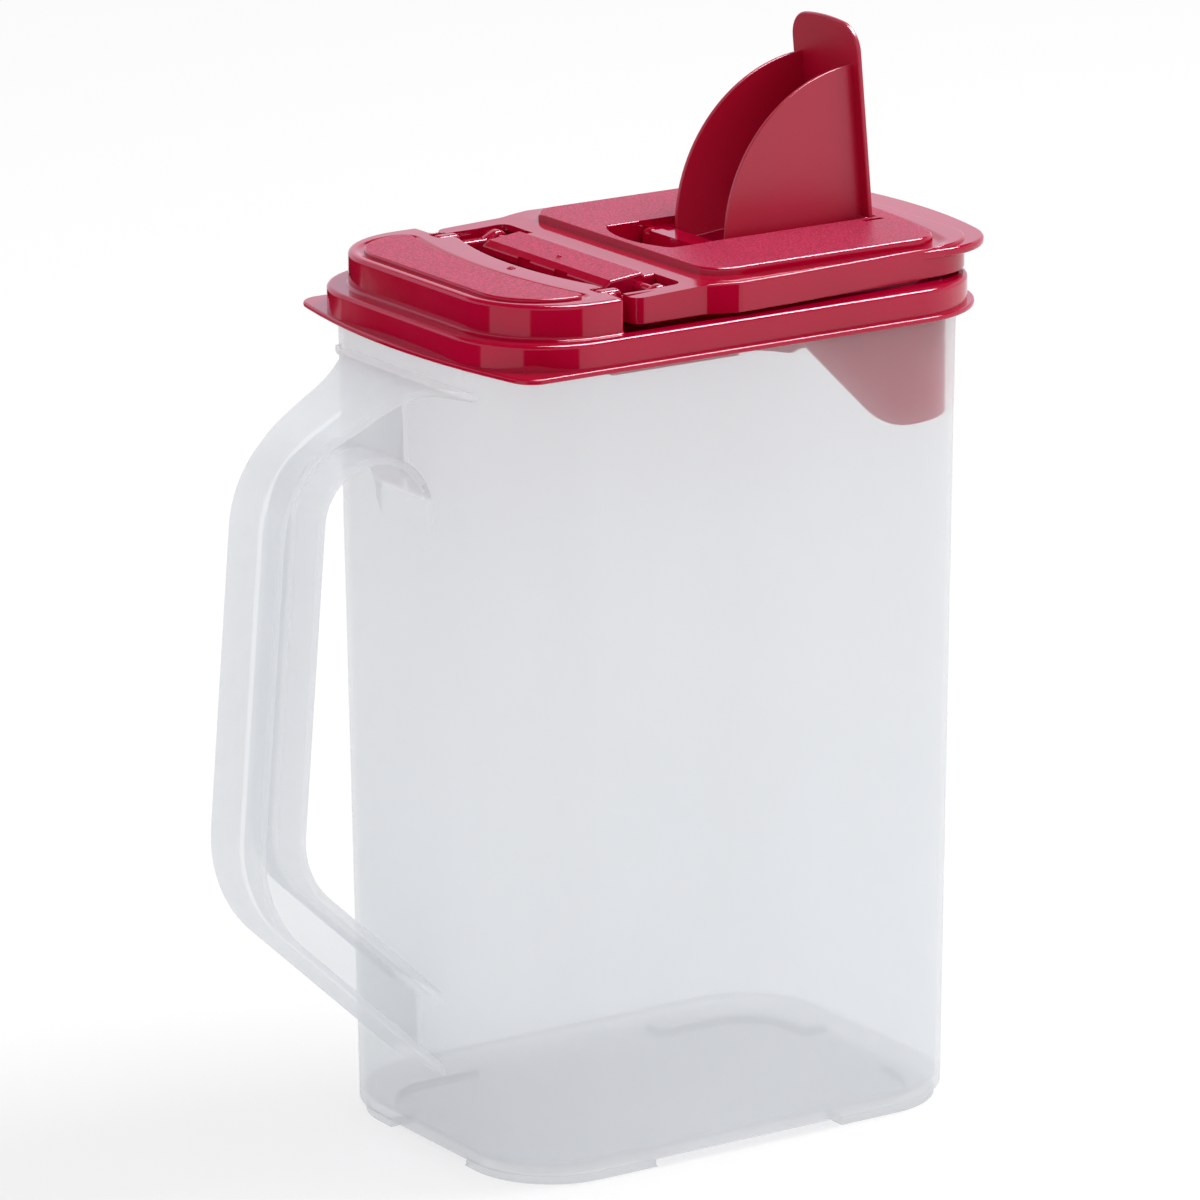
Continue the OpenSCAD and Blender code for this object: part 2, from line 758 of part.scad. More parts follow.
module hinge_pins() {
  length = notch_half - lever_half + flap_wall;
  for (side = [-1, 1])
    translate([-hinge_back, side * (lever_half + notch_half) / 2, hinge_z])
      rotate([90, 0, 0]) cylinder(d = pin_dia, h = length, center = true);
}

// The pan under the spout's plate, the tub of the finger well and the blocks for the spout's pins.
module spout_seat() {
  low = recess_z - flap_wall;
  top = plateau_z - flap_wall / 2;
  middle_block(sill_back, hole_front + flap_wall, plate_hole_half + flap_wall, low, top);
  plate(well_z - flap_wall, top - well_z + flap_wall) well_outline(flap_wall);
  middle_block(sill_back - flap_wall, sill_back + sill_wall, plate_hole_half + flap_wall, low, top);
  middle_block(spout_hinge - block_half, spout_hinge + block_half, pin_hole_half + flap_wall,
               spout_z - spout_bore_dia / 2 - flap_wall, top);
}

module spout_openings() {
  plate(well_z, big) well_outline(0);
  middle_block(sill_back - eps, hole_front, plate_hole_half, sill_z, big);
  middle_block(sill_back + sill_wall, hole_front, plate_hole_half, recess_z, big);
  middle_block(cheek_hole_back, spout_hinge, cheek_hole_half, 0, big);
  middle_block(spout_hinge - knuckle_room, hole_front, plate_hole_half, 0, big);
  translate([spout_hinge, 0, spout_z]) rotate([90, 0, 0])
    cylinder(d = spout_bore_dia, h = 2 * pin_hole_half, center = true);
  for (side = [-1, 1])
    translate([spout_hinge, side * slit_side, slit_low + big / 2])
      cube([slit_length, slit_width, big], center = true);
}

// A rib that closes outside the lid's collar.
module seal_rib() {
  plate(seal_z, margin_z - flap_wall / 2 - seal_z) difference() {
    opening_outline(-inner_wall - seal_gap - seal_wall);
    opening_outline(-inner_wall - seal_gap);
    translate([-big + seal_back, -big / 2]) square([big, big]);
  }
}

module flap() color([0.75, 0.13, 0.27]) translate([middle_x, 0, 0]) {
  difference() {
    union() {
      difference() {
        flap_shell();
        middle_block(-flap_rear - 1, -slot_front, notch_half, 0, big);
        middle_block(-flap_rear - 1, -slot_front, big, margin_z - rail_drop, big);
      }
      slot_walls();
      spout_seat();
      seal_rib();
    }
    spout_openings();
  }
  lever();
  hinge_pins();
}

// ---- spout ----

module plate_outline() {
  half = plate_width / 2;
  intersection() {
    translate([-plate_length + plate_arch, 0]) circle(r = plate_arch);
    union() {
      translate([-plate_length + plate_corner, -half]) square([plate_length - plate_corner, plate_width]);
      translate([-plate_length, -half + plate_corner])
        square([plate_corner + 1, plate_width - 2 * plate_corner]);
      for (side = [-1, 1])
        translate([-plate_length + plate_corner, side * (half - plate_corner)]) circle(r = plate_corner);
    }
  }
}

// A quarter disc below the plate.
module cheek() {
  upright(cheek_wall)
    intersection() {
      circle(r = cheek_radius);
      translate([-big, -big + plate_lift + plate_wall / 2]) square([big, big]);
    }
}

// The spout lying closed, with its hinge line on the origin.
module closed_spout() {
  plate(plate_lift, plate_wall) plate_outline();
  for (side = [-1, 1]) translate([0, side * (cheek_span - cheek_wall) / 2, 0]) cheek();
  rotate([90, 0, 0]) {
    cylinder(r = knuckle_radius, h = plate_width, center = true);
    cylinder(d = spout_pin_dia, h = plate_width + 2 * spout_pin_length, center = true);
  }
}

module spout() color([0.75, 0.13, 0.27])
  translate([spout_hinge + middle_x, 0, spout_z]) rotate([0, spout_open, 0]) closed_spout();

jug();
lid_base();
flap();
spout();
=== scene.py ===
import math

import bmesh
import bpy
import numpy as np
from mathutils import Matrix, Vector


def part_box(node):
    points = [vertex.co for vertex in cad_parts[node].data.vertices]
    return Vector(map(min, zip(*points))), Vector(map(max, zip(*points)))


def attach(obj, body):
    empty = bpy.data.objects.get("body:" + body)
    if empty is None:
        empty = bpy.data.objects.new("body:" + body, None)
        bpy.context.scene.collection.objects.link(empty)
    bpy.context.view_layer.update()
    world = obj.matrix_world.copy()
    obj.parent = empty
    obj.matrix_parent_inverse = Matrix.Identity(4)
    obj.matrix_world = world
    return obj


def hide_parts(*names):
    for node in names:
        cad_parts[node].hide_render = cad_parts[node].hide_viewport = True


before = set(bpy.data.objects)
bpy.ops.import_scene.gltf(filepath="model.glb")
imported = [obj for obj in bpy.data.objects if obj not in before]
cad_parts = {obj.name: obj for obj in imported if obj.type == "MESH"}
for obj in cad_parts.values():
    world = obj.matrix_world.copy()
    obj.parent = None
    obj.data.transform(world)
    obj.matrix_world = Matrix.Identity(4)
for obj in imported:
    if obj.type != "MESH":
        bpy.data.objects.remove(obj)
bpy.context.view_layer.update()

# Every size below is in mm. Shapes are drawn about the middle of the jug: +X to the pouring end, +Z up.
MM = 0.001
LIP_TIP = 94  # the pouring lip's tip, ahead of the jug's middle
MIDDLE_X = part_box("flap")[1].x / MM - LIP_TIP  # the jug's middle, ahead of the origin


def place(x, y, z):
    """A point in mm about the middle of the jug, in the part's own frame in metres."""
    return Vector((x + MIDDLE_X, y, z)) * MM


# ---- outlines: closed lists of points, counterclockwise ----

def arc(centre, radius, start, end, steps=10):
    """Points along an arc, with its angles in degrees."""
    angles = np.radians(np.linspace(start, end, steps + 1))
    return [(centre[0] + radius * math.cos(a), centre[1] + radius * math.sin(a)) for a in angles]


def bow(start, end, radius, steps=24):
    """An arc of a given radius from start to end. A positive radius bulges to the right of the way."""
    p, q = np.array(start, float), np.array(end, float)
    chord = q - p
    half = np.linalg.norm(chord) / 2
    left = np.array((-chord[1], chord[0])) / (2 * half)
    centre = (p + q) / 2 + left * math.copysign(math.sqrt(radius * radius - half * half), radius)
    turn = math.copysign(2 * math.degrees(math.asin(half / abs(radius))), radius)
    first = math.degrees(math.atan2(*(p - centre)[::-1]))
    return arc(centre, abs(radius), first, first + turn, steps)


def rounded_path(corners, closed=True, steps=8):
    """A line through corners given as (x, y) or (x, y, radius)."""
    points = [np.array(c[:2], float) for c in corners]
    radii = [c[2] if len(c) > 2 else 0 for c in corners]
    line = []
    for i, (p, radius) in enumerate(zip(points, radii)):
        if radius == 0 or (not closed and i in (0, len(points) - 1)):
            line.append(tuple(p))
            continue
        before = points[i - 1] - p
        after = points[(i + 1) % len(points)] - p
        before, after = before / np.linalg.norm(before), after / np.linalg.norm(after)
        angle = math.acos(max(-1, min(1, before @ after)))
        run = radius / math.tan(angle / 2)
        towards = (before + after) / np.linalg.norm(before + after)
        centre = p + towards * radius / math.sin(angle / 2)
        first, last = p + before * run - centre, p + after * run - centre
        start = math.degrees(math.atan2(first[1], first[0]))
        turn = (math.degrees(math.atan2(last[1], last[0])) - start + 180) % 360 - 180
        line += arc(centre, radius, start, start + turn, steps)
    return line


def rounded(half_x, half_y, radius, steps=14):
    """A rectangle about the middle with round corners."""
    return rounded_path([(-half_x, -half_y, radius), (half_x, -half_y, radius),
                         (half_x, half_y, radius), (-half_x, half_y, radius)], steps=steps)


def mirrored(half):
    """The half outline on the -Y side, then its mirror image backwards."""
    return list(half) + [(c[0], -c[1]) + tuple(c[2:]) for c in reversed(half)]


def spaced(line, least=0.02):
    """The line without points that lie on each other."""
    kept = [line[0]]
    for p in line[1:]:
        if math.dist(p, kept[-1]) > least:
            kept.append(p)
    if math.dist(kept[0], kept[-1]) <= least:
        kept.pop()
    return kept


def normals(line, closed=True):
    """Outward normals at the points of a counterclockwise line, scaled so that a miter keeps its width."""
    p = np.array(line, float)
    ahead = np.roll(p, -1, axis=0) - p
    ahead /= np.linalg.norm(ahead, axis=1)[:, None]
    behind = np.roll(ahead, 1, axis=0)
    if not closed:
        ahead[-1] = behind[-1]
        behind[0] = ahead[0]
    out_a = np.stack((ahead[:, 1], -ahead[:, 0]), axis=1)
    out_b = np.stack((behind[:, 1], -behind[:, 0]), axis=1)
    return (out_a + out_b) / (1 + np.sum(out_a * out_b, axis=1))[:, None]


def grown(line, amount, closed=True):
    """The line moved outward by an amount, or inward by a negative one."""
    return np.array(line, float) + amount * normals(line, closed)


# ---- profiles: lists of (growth of the outline, height), from low to high ----

QUARTER = np.linspace(0, math.pi / 2, 6)  # the angles of an edge's rounding
BEYOND = 2  # how far a cutter goes past the surface that it opens


def lower_edge(low, radius):
    """The lower end of a profile, rounded inward if it has a radius."""
    if not radius:
        return [(0, low)]
    return [(radius * math.sin(a) - radius, low + radius - radius * math.cos(a)) for a in QUARTER]


def upper_edge(high, radius):
    """The upper end of a profile, rounded inward if it has a radius."""
    if not radius:
        return [(0, high)]
    return [(radius * math.cos(a) - radius, high - radius + radius * math.sin(a)) for a in QUARTER]


def rolled(low, high, under=0, over=0):
    """A wall from low to high whose lower and upper edges are rounded."""
    return lower_edge(low, under) + upper_edge(high, over)


def flared(low, top, radius, under=0):
    """A cutter whose opening at top gets a rounded edge."""
    head = [(radius - radius * math.cos(a), top - radius + radius * math.sin(a)) for a in QUARTER]
    return lower_edge(low, under) + head + [(radius, top + BEYOND)]


def dished(low, top, reach, steps=8):
    """A cutter that leaves a shallow dish whose side rises in an S to the surface at top."""
    shares = np.linspace(0, 1, steps + 1)
    ramp = [(reach * t, low + (top - low) * (1 - math.cos(math.pi * t)) / 2) for t in shares]
    return ramp + [(reach, top + BEYOND)]


def footed(low, base, high, foot, over):
    """A raised wall with a hollow fillet where it stands on a surface at base."""
    hollow = [(foot - foot * math.sin(a), base + foot - foot * math.cos(a)) for a in QUARTER]
    return [(foot, low)] + hollow + upper_edge(high, over)


# ---- solids ----

def flat_lay(u, v, w):
    """Outlines in XY, profiles up Z."""
    return u, v, w


def upright_lay(u, v, w):
    """Outlines in XZ, profiles along Y."""
    return u, w, v


def cross_lay(u, v, w):
    """Outlines in YZ, profiles along X."""
    return w, u, v


def linked(name, data):
    """A new object in the scene."""
    thing = bpy.data.objects.new(name, data)
    bpy.context.scene.collection.objects.link(thing)
    return thing


def new_object(name, points, faces):
    """An object with points in mm, outward normals and no faces of more than four sides."""
    mesh = bpy.data.meshes.new(name)
    mesh.from_pydata([place(*p) for p in points], [], faces)
    work = bmesh.new()
    work.from_mesh(mesh)
    bmesh.ops.recalc_face_normals(work, faces=work.faces)
    bmesh.ops.triangulate(work, faces=[face for face in work.faces if len(face.verts) > 4])
    work.to_mesh(mesh)
    work.free()
    return linked(name, mesh)


def rings_to_solid(name, rings):
    """A closed solid through rings with the same number of points."""
    count = len(rings[0])
    points = [p for ring in rings for p in ring]
    faces = [tuple(range(count)), tuple(range(len(points) - count, len(points)))]
    for k in range(len(rings) - 1):
        for i in range(count):
            a, b = k * count + i, k * count + (i + 1) % count
            faces.append((a, b, b + count, a + count))
    return new_object(name, points, faces)


def solid(outline, profile, lay=flat_lay):
    """The outline swept up its profile."""
    outline = spaced(outline)
    return rings_to_solid("tool", [[lay(u, v, height) for u, v in grown(outline, growth)]
                                   for growth, height in profile])


def block(x0, x1, y0, y1, z0, z1, radius=0):
    """A box whose lower and upper edges may be rounded."""
    return solid([(x0, y0), (x1, y0), (x1, y1), (x0, y1)], rolled(z0, z1, radius, radius))


def circle(centre, radius):
    """A closed outline of 24 points."""
    return arc(centre, radius, 0, 345, 23)


def pin(centre, radius, length, edge=0.3):
    """A round pin along Y."""
    x, y, z = centre
    ends = rolled(y - length / 2, y + length / 2, edge, edge)
    return solid(circle((x, z), radius), ends, upright_lay)


def across(low, high):
    """The plain profile of a cutter or wall between two places."""
    return [(0, low), (0, high)]


def combine(name, base, steps):
    """Applies a chain of Boolean steps and deletes the tools."""
    base.name = name
    for operation, tool in steps:
        change = base.modifiers.new(operation, "BOOLEAN")
        change.operation = operation
        change.solver = "MANIFOLD"
        change.object = tool
    graph = bpy.context.evaluated_depsgraph_get()
    graph.update()
    mesh = bpy.data.meshes.new_from_object(base.evaluated_get(graph))
    base.modifiers.clear()
    old = base.data
    base.data = mesh
    bpy.data.meshes.remove(old)
    mesh.name = name
    for _, tool in steps:
        spent = tool.data
        bpy.data.objects.remove(tool)
        bpy.data.meshes.remove(spent)
    return base


def add(*tools):
    """Steps for combine that join the tools on."""
    return [("UNION", tool) for tool in tools]


def cut(*tools):
    """Steps for combine that cut the tools away."""
    return [("DIFFERENCE", tool) for tool in tools]


SHARP_ANGLE = 38


def finish_shape(piece):
    """Smooth shading that keeps flat faces flat and real corners sharp."""
    mesh = piece.data
    mesh.polygons.foreach_set("use_smooth", [True] * len(mesh.polygons))
    mesh.set_sharp_from_angle(angle=math.radians(SHARP_ANGLE))
    weigh = piece.modifiers.new("normals", "WEIGHTED_NORMAL")
    weigh.keep_sharp = True


def paint(piece, finishes, pick):
    """Gives each face the finish whose number pick returns for the face's middle and upward share."""
    mesh = piece.data
    mesh.materials.clear()
    for finish in finishes:
        mesh.materials.append(finish)
    for face in mesh.polygons:
        x, y, z = face.center / MM
        face.material_index = pick(x - MIDDLE_X, y, z, face.normal.z)


# ---- jug ----

JUG_HALF = (78.2, 53.25)  # half length and half width at the base
JUG_CORNER = 27.2
JUG_HEIGHT = 242
LEAN = math.tan(math.radians(0.756))
WALL = 1.6
FOOT = 2.5  # height of the feet, so the bottom's underside
FLOOR = 4.3  # the bottom's top
BASE_EDGE = 1.6
FLOOR_EDGE = 2.5
RIM_EDGE = 0.4
BASE_ZONE = 7.5  # the bottom and its rounded edge end here

GRIP = 27  # the handle's width
FLANGE = 2.4  # thickness of the handle's two flanges and of its web
CORNER_TOP = (-128.9, 207.1)  # where the straight stretches of its outer side would meet
CORNER_LOW = (-139.8, 83)
SLOPE_TOP = 28  # degrees
SLOPE_LOW = 43.4
BENDS = (14, 35.5, 40)  # radii at the root, the upper and the lower corner
INNER_BEND = 26.05
ROOT_TOP = 228.5  # top of the upper arm
ARM_FOOT_Z = 40  # about where the lower arm meets the wall
GRIP_DEPTH = 15.1  # from the outer flange's face to the inner one's
ARM_DEPTH = 17.6  # the same at the lower arm
ARCH_Z = 190  # middle of the arch inside the upper corner
ARCH_TAIL = 7  # how far the arch's flange tapers down the wall
UPPER_ARM = (-125, 150)  # the upper arm is in front of this x and above this z
FINE_STEP = 1.5


def jug_x(z):
    """The jug's half length at z."""
    return JUG_HALF[0] + z * LEAN


def leaning(inset, low, high, under, over):
    """The profile of the jug's leaning side, inset from its outer face."""
    return [(growth - inset + z * LEAN, z) for growth, z in rolled(low, high, under, over)]


def heading(degrees):
    """The unit vector in the XZ plane at an angle above +X."""
    return np.array((math.cos(math.radians(degrees)), math.sin(math.radians(degrees))))


def meet(p, d, q, e):
    """Where the line from p along d crosses the line from q along e."""
    p, q = np.array(p, float), np.array(q, float)
    k = ((q[0] - p[0]) * e[1] - (q[1] - p[1]) * e[0]) / (d[0] * e[1] - d[1] * e[0])
    return p + k * d


def band(line, half_widths, wall, edge=0.7, steps=4):
    """A strip with rounded edges that follows a line in the XZ plane, on the left of its way."""
    line = np.array(line, float)
    inward = -normals(line, closed=False)
    rings = []
    for p, n, half in zip(line, inward, half_widths):
        section = rounded_path([(-half, 0, edge), (half, 0, edge), (half, wall, edge), (-half, wall, edge)],
                               steps=steps)
        rings.append([(p[0] + n[0] * v, u, p[1] + n[1] * v) for u, v in section])
    return rings_to_solid("tool", rings)


def make_jug():
    outline = rounded(*JUG_HALF, JUG_CORNER, steps=20)
    profile = leaning(0, FOOT, JUG_HEIGHT, BASE_EDGE, RIM_EDGE)
    edge = len(QUARTER)
    body = solid(outline, profile[:edge] + [(BASE_ZONE * LEAN, BASE_ZONE)] + profile[edge:])
    hollow = solid(outline, leaning(WALL, FLOOR, JUG_HEIGHT + 1, FLOOR_EDGE, 0))
    outer, inner = handle_lines()
    fine = finer(outer)
    widths = [flare_half(x) if z > UPPER_ARM[1] else GRIP / 2 for x, z in fine]
    outer_flange = band(fine, widths, FLANGE)
    inner_flange = band(inner, [GRIP / 2] * len(inner), FLANGE)
    handle = add(outer_flange, inner_flange, make_web(outer, inner))
    feet = [make_foot(sx, sy) for sx in (-1, 1) for sy in (-1, 1)]
    return combine("jug_body", body, handle + add(*feet) + cut(hollow))


def handle_lines():
    """The outer faces of the handle's outer and inner flange, from the upper root down to the lower one."""
    corner_top, corner_low = np.array(CORNER_TOP), np.array(CORNER_LOW)
    low_dir = heading(-SLOPE_LOW)
    grip_dir = (corner_top - corner_low) / np.linalg.norm(corner_top - corner_low)
    turn_x = CORNER_TOP[0] + (ROOT_TOP - CORNER_TOP[1]) / math.tan(math.radians(SLOPE_TOP))
    into_wall = 2 * WALL
    wall_low_x = -jug_x(ARM_FOOT_Z) + into_wall
    low_end = corner_low + low_dir * ((wall_low_x - CORNER_LOW[0]) / low_dir[0])
    outer = rounded_path([(-jug_x(ROOT_TOP) + into_wall, ROOT_TOP), (turn_x, ROOT_TOP, BENDS[0]),
                          (*CORNER_TOP, BENDS[1]), (*CORNER_LOW, BENDS[2]), tuple(low_end)],
                         closed=False, steps=16)

    in_grip = np.array((grip_dir[1], -grip_dir[0]))
    in_low = np.array((-low_dir[1], low_dir[0]))
    inner_corner = meet(corner_low + (GRIP_DEPTH - FLANGE) * in_grip, grip_dir,
                        corner_low + (ARM_DEPTH - FLANGE) * in_low, low_dir)
    arch_wall = -jug_x(ARCH_Z) + WALL / 4
    lean_grip = math.atan2(grip_dir[0], grip_dir[1])
    arch_line = inner_corner[0] + (ARCH_Z - inner_corner[1]) * math.tan(lean_grip)
    arch_radius = (arch_wall - arch_line) / (1 + 1 / math.cos(lean_grip))
    low_inner = inner_corner + low_dir * ((wall_low_x - inner_corner[0]) / low_dir[0])
    inner = [(arch_wall + FLANGE - 0.2, ARCH_Z - ARCH_TAIL)]
    inner += arc((arch_wall - arch_radius, ARCH_Z), arch_radius, 0, 180 - math.degrees(lean_grip), 24)
    inner += rounded_path([inner[-1], (*inner_corner, INNER_BEND), tuple(low_inner)],
                          closed=False, steps=14)[1:]
    return outer, spaced(inner)


def finer(line):
    """The line with more points along the upper arm, so that the width can change there."""
    fine = []
    for a, b in zip(line[:-1], line[1:]):
        upper = a[0] > UPPER_ARM[0] and a[1] > UPPER_ARM[1]
        pieces = max(1, int(math.dist(a, b) / FINE_STEP)) if upper else 1
        fine += [tuple(np.add(a, np.subtract(b, a) * k / pieces)) for k in range(pieces)]
    return spaced(fine + [line[-1]])


def make_web(outer, inner):
    """The thin wall between the middles of the handle's two flanges."""
    out_line = [tuple(c) for c in grown(outer, -FLANGE / 2, closed=False)]
    in_line = [tuple(c) for c in grown(inner, -FLANGE / 2, closed=False)][2:]  # without the arch's tail
    start_x, start_z = in_line[0]
    ring = in_line[::-1] + [(start_x + 2, start_z), (out_line[0][0], start_z)] + out_line
    return solid(ring, across(-FLANGE / 2, FLANGE / 2), upright_lay)


ROOT_HALF = 35.7  # half width of the upper arm where it meets the wall
NECK_HALF = 16.5  # half width where the flare starts
FLARE = 21.5  # radius of the flare
NECK = 16  # length over which the grip widens to the neck
ROOT_REACH = 0.8  # the flare ends this far before the wall


def flare_half(x):
    """Half width of the upper arm at x."""
    face = -jug_x(ROOT_TOP) - ROOT_REACH
    start = face - FLARE
    if x < start - NECK:
        return GRIP / 2
    if x < start:
        return GRIP / 2 + (NECK_HALF - GRIP / 2) * (x - start + NECK) / NECK
    if x < face:
        return min(ROOT_HALF, NECK_HALF + FLARE - math.sqrt(max(0, FLARE ** 2 - (x - start) ** 2)))
    return ROOT_HALF


FOOT_INSET = 2.2
FOOT_BAND = 8  # width of the L-shaped feet
FOOT_GAP = (32, 20)  # the feet start this far from the middle


def make_foot(sx, sy):
    """The foot at one corner, sx and sy being the corner's signs."""
    half_x, half_y = JUG_HALF[0] - FOOT_INSET, JUG_HALF[1] - FOOT_INSET
    radius = JUG_CORNER - FOOT_INSET
    centre = (half_x - radius, half_y - radius)
    inner = radius - FOOT_BAND
    line = [(FOOT_GAP[0], half_y - FOOT_BAND), (centre[0], half_y - FOOT_BAND)]
    line += arc(centre, inner, 90, 0, 10) + [(half_x - FOOT_BAND, FOOT_GAP[1]), (half_x, FOOT_GAP[1])]
    line += arc(centre, radius, 0, 90, 14) + [(FOOT_GAP[0], half_y)]
    line = [(sx * x, sy * y) for x, y in line]
    if sx * sy > 0:
        line.reverse()
    return solid(line, rolled(0, FOOT + 0.5, 0.4))


# ---- lid base ----

SKIRT_HALF = (83.24, 58.24)
SKIRT_CORNER = 29
SKIRT_WALL = 1.5
SKIRT_Z = 235.1  # underside of the skirt and of the flange round it
RIM = 1.5  # thickness of that flange
RIM_REACH = 2
RIM_CORNERS = (7, 31)  # behind and in front
RIM_BOW = 7  # depth of the bowed edge behind
RIM_OVERHANG = 0.65
LEDGE_Z = 244
LEDGE_WALL = 1.9

DECK_Z = 253.8
DECK_WALL = 1.8
DECK_BACK = -78.04
DECK_HALF = 53.94
DECK_CORNER = 27.5
DECK_FRONT = -45  # the deepest place of the hollow front
DECK_ARC = 125  # the hollow's radius
DECK_MID_FRONT = -40  # the straight faces beside the hollow
DECK_SIDE_FRONT = -43  # the faces beyond the notches
NOTCH_HALF = 46

PANEL_BACK = -73.34
PANEL_FRONT = -56
PANEL_HALF = 46.5
PANEL_ARC = 187
PANEL_CORNERS = (18.5, 3.2)  # behind and in front
PANEL_RISE = 0.7
MARK_AT = (-48.8, -5)  # a small ring on the deck

OPENING_BACK = -2
OPENING_FRONT = 73.96
OPENING_HALF = 47.46
OPENING_CORNER = 20

INNER_WALL = 1.4  # the plug, the collar and the baffle
PLUG_HALF = (79.38, 54.43)
PLUG_CORNER = 25.3
PLUG_Z = 236  # its lower edge
PLUG_GAP = -46.4  # the plug stops here, behind the pocket
COLLAR_TOP = 247
BAFFLE_HALF = (77.19, 52.24)
BAFFLE_CORNER = 23
BAFFLE_Z = 203.1
# What is kept of the baffle, seen from the side.
BAFFLE_SIDE = [(13.4, 236.4), (45.6, 204.2, 20), (120, 204.2), (120, 260), (13.4, 260)]
BAFFLE_ARCH = [(-44, 200), (-33, 206.8, 9), (33, 206.8, 9), (44, 200)]  # in its lower edge in front
BAFFLE_FRONT = (62, 90)

POCKET_FRONT = -7.5
POCKET_BACK = -48
POCKET_HALF = 53.56
POCKET_LOW = 232.9
POCKET_FLOOR = 233.53
POCKET_WALL = 1.9  # the pocket's rear wall, under the deck's front


def deck_outline(inset=0):
    """Round behind, hollow in front between two short straight faces."""
    side = -math.sqrt(DECK_ARC ** 2 - (DECK_ARC - DECK_MID_FRONT + DECK_FRONT) ** 2)
    tight = inset + 0.3  # a smaller corner would cross itself
    half = [(DECK_BACK, -DECK_HALF, DECK_CORNER), (DECK_SIDE_FRONT, -DECK_HALF, max(1.7, tight)),
            (DECK_SIDE_FRONT, -NOTCH_HALF, 0.5), (DECK_MID_FRONT, -NOTCH_HALF, max(1.6, tight))]
    front = bow((DECK_MID_FRONT, side), (DECK_MID_FRONT, -side), -DECK_ARC, 28)
    corners = half + front + [(x, -y, r) for x, y, r in reversed(half)]
    line = rounded_path(corners, steps=12)
    return [tuple(p) for p in grown(line, -inset)] if inset else line


def panel_outline():
    """The grained crescent on the deck."""
    tip = PANEL_FRONT + PANEL_ARC - math.sqrt(PANEL_ARC ** 2 - PANEL_HALF ** 2)
    front = bow((tip, -PANEL_HALF), (tip, PANEL_HALF), -PANEL_ARC, 18)
    rear_corner, front_corner = PANEL_CORNERS
    corners = [(PANEL_BACK, -PANEL_HALF, rear_corner), (*front[0], front_corner), *front[1:-1],
               (*front[-1], front_corner), (PANEL_BACK, PANEL_HALF, rear_corner)]
    return rounded_path(corners, steps=10)


def rim_outline():
    """Round corners in front, squarish ones on a bowed edge behind."""
    half_x, half_y = SKIRT_HALF[0] + RIM_REACH, SKIRT_HALF[1] + RIM_REACH
    rear_corner, front_corner = RIM_CORNERS
    radius = half_y ** 2 / (2 * RIM_BOW)
    centre = -half_x - RIM_OVERHANG + radius
    edge_x = centre - math.sqrt(radius ** 2 - half_y ** 2)
    rear = bow((edge_x, half_y), (edge_x, -half_y), radius, 14)
    return rounded_path([(*rear[0], rear_corner), *rear[1:-1], (*rear[-1], rear_corner),
                         (half_x, -half_y, front_corner), (half_x, half_y, front_corner)], steps=12)


def opening_outline(grow=0):
    """The pour opening, square behind and round in front."""
    front, half, corner = OPENING_FRONT + grow, OPENING_HALF + grow, OPENING_CORNER + grow
    back = OPENING_BACK - grow
    corners = [(back, -half), (front, -half, corner), (front, half, corner), (back, half)]
    return rounded_path(corners, steps=10)


def ring_solid(outline, wall, low, high, edge=0.3):
    """An upright wall inside an outline."""
    shell = solid(outline, rolled(low, high, edge, edge))
    inner = solid(outline, [(-wall, low - 1), (-wall, high + 1)])
    return combine("tool", shell, cut(inner))


def make_lid_base():
    skirt = solid(rounded(*SKIRT_HALF, SKIRT_CORNER, 16), rolled(SKIRT_Z, LEDGE_Z, 0.3, 1.2))
    rim = solid(rim_outline(), rolled(SKIRT_Z, SKIRT_Z + RIM, 0.4, 0.6))
    deck = solid(deck_outline(), footed(LEDGE_Z - 1.2, LEDGE_Z, DECK_Z, 0.8, 1.3))
    groove = solid(grown(panel_outline(), 0.6), dished(DECK_Z - 0.5, DECK_Z, 2.0))
    panel = solid(panel_outline(), rolled(DECK_Z - 1, DECK_Z + PANEL_RISE, 0, PANEL_RISE))
    inside_skirt = rounded(*(half - SKIRT_WALL for half in SKIRT_HALF), SKIRT_CORNER - SKIRT_WALL, 14)
    under = solid(inside_skirt, across(SKIRT_Z - 1, LEDGE_Z - LEDGE_WALL))
    deck_room = solid(deck_outline(DECK_WALL), across(SKIRT_Z - 1, DECK_Z - DECK_WALL))
    pocket_hole = block(POCKET_BACK, POCKET_FRONT, -POCKET_HALF, POCKET_HALF, SKIRT_Z - 1, LEDGE_Z + 3)
    below_deck = solid(deck_outline(), across(SKIRT_Z - 2, LEDGE_Z + 4))
    pocket_hole = combine("tool", pocket_hole, cut(below_deck))
    opening = solid(opening_outline(), across(SKIRT_Z - 1, LEDGE_Z + 5))

    plug = ring_solid(rounded(*PLUG_HALF, PLUG_CORNER, 12), INNER_WALL, PLUG_Z, LEDGE_Z - 0.7)
    plug = combine("tool", plug, cut(block(PLUG_GAP, POCKET_FRONT, -90, 90, PLUG_Z - 6, LEDGE_Z + 6)))
    collar = ring_solid(opening_outline(INNER_WALL), INNER_WALL, LEDGE_Z - 1.3, COLLAR_TOP)
    ears = [make_ear(side * EAR_Y) for side in (-1, 1)]
    ear_grooves = [ear_groove(side * EAR_Y) for side in (-1, 1)]
    mark = ring_solid(circle(MARK_AT, 1.25), 0.4, DECK_Z - 0.5, DECK_Z + 0.25, 0.1)
    steps = add(rim, deck) + cut(groove, *ear_grooves) + add(panel)
    steps += cut(under, deck_room, pocket_hole, opening)
    steps += add(plug, collar, make_baffle(), make_pocket(), *ears, mark)
    return combine("lid_base_shell", skirt, steps)


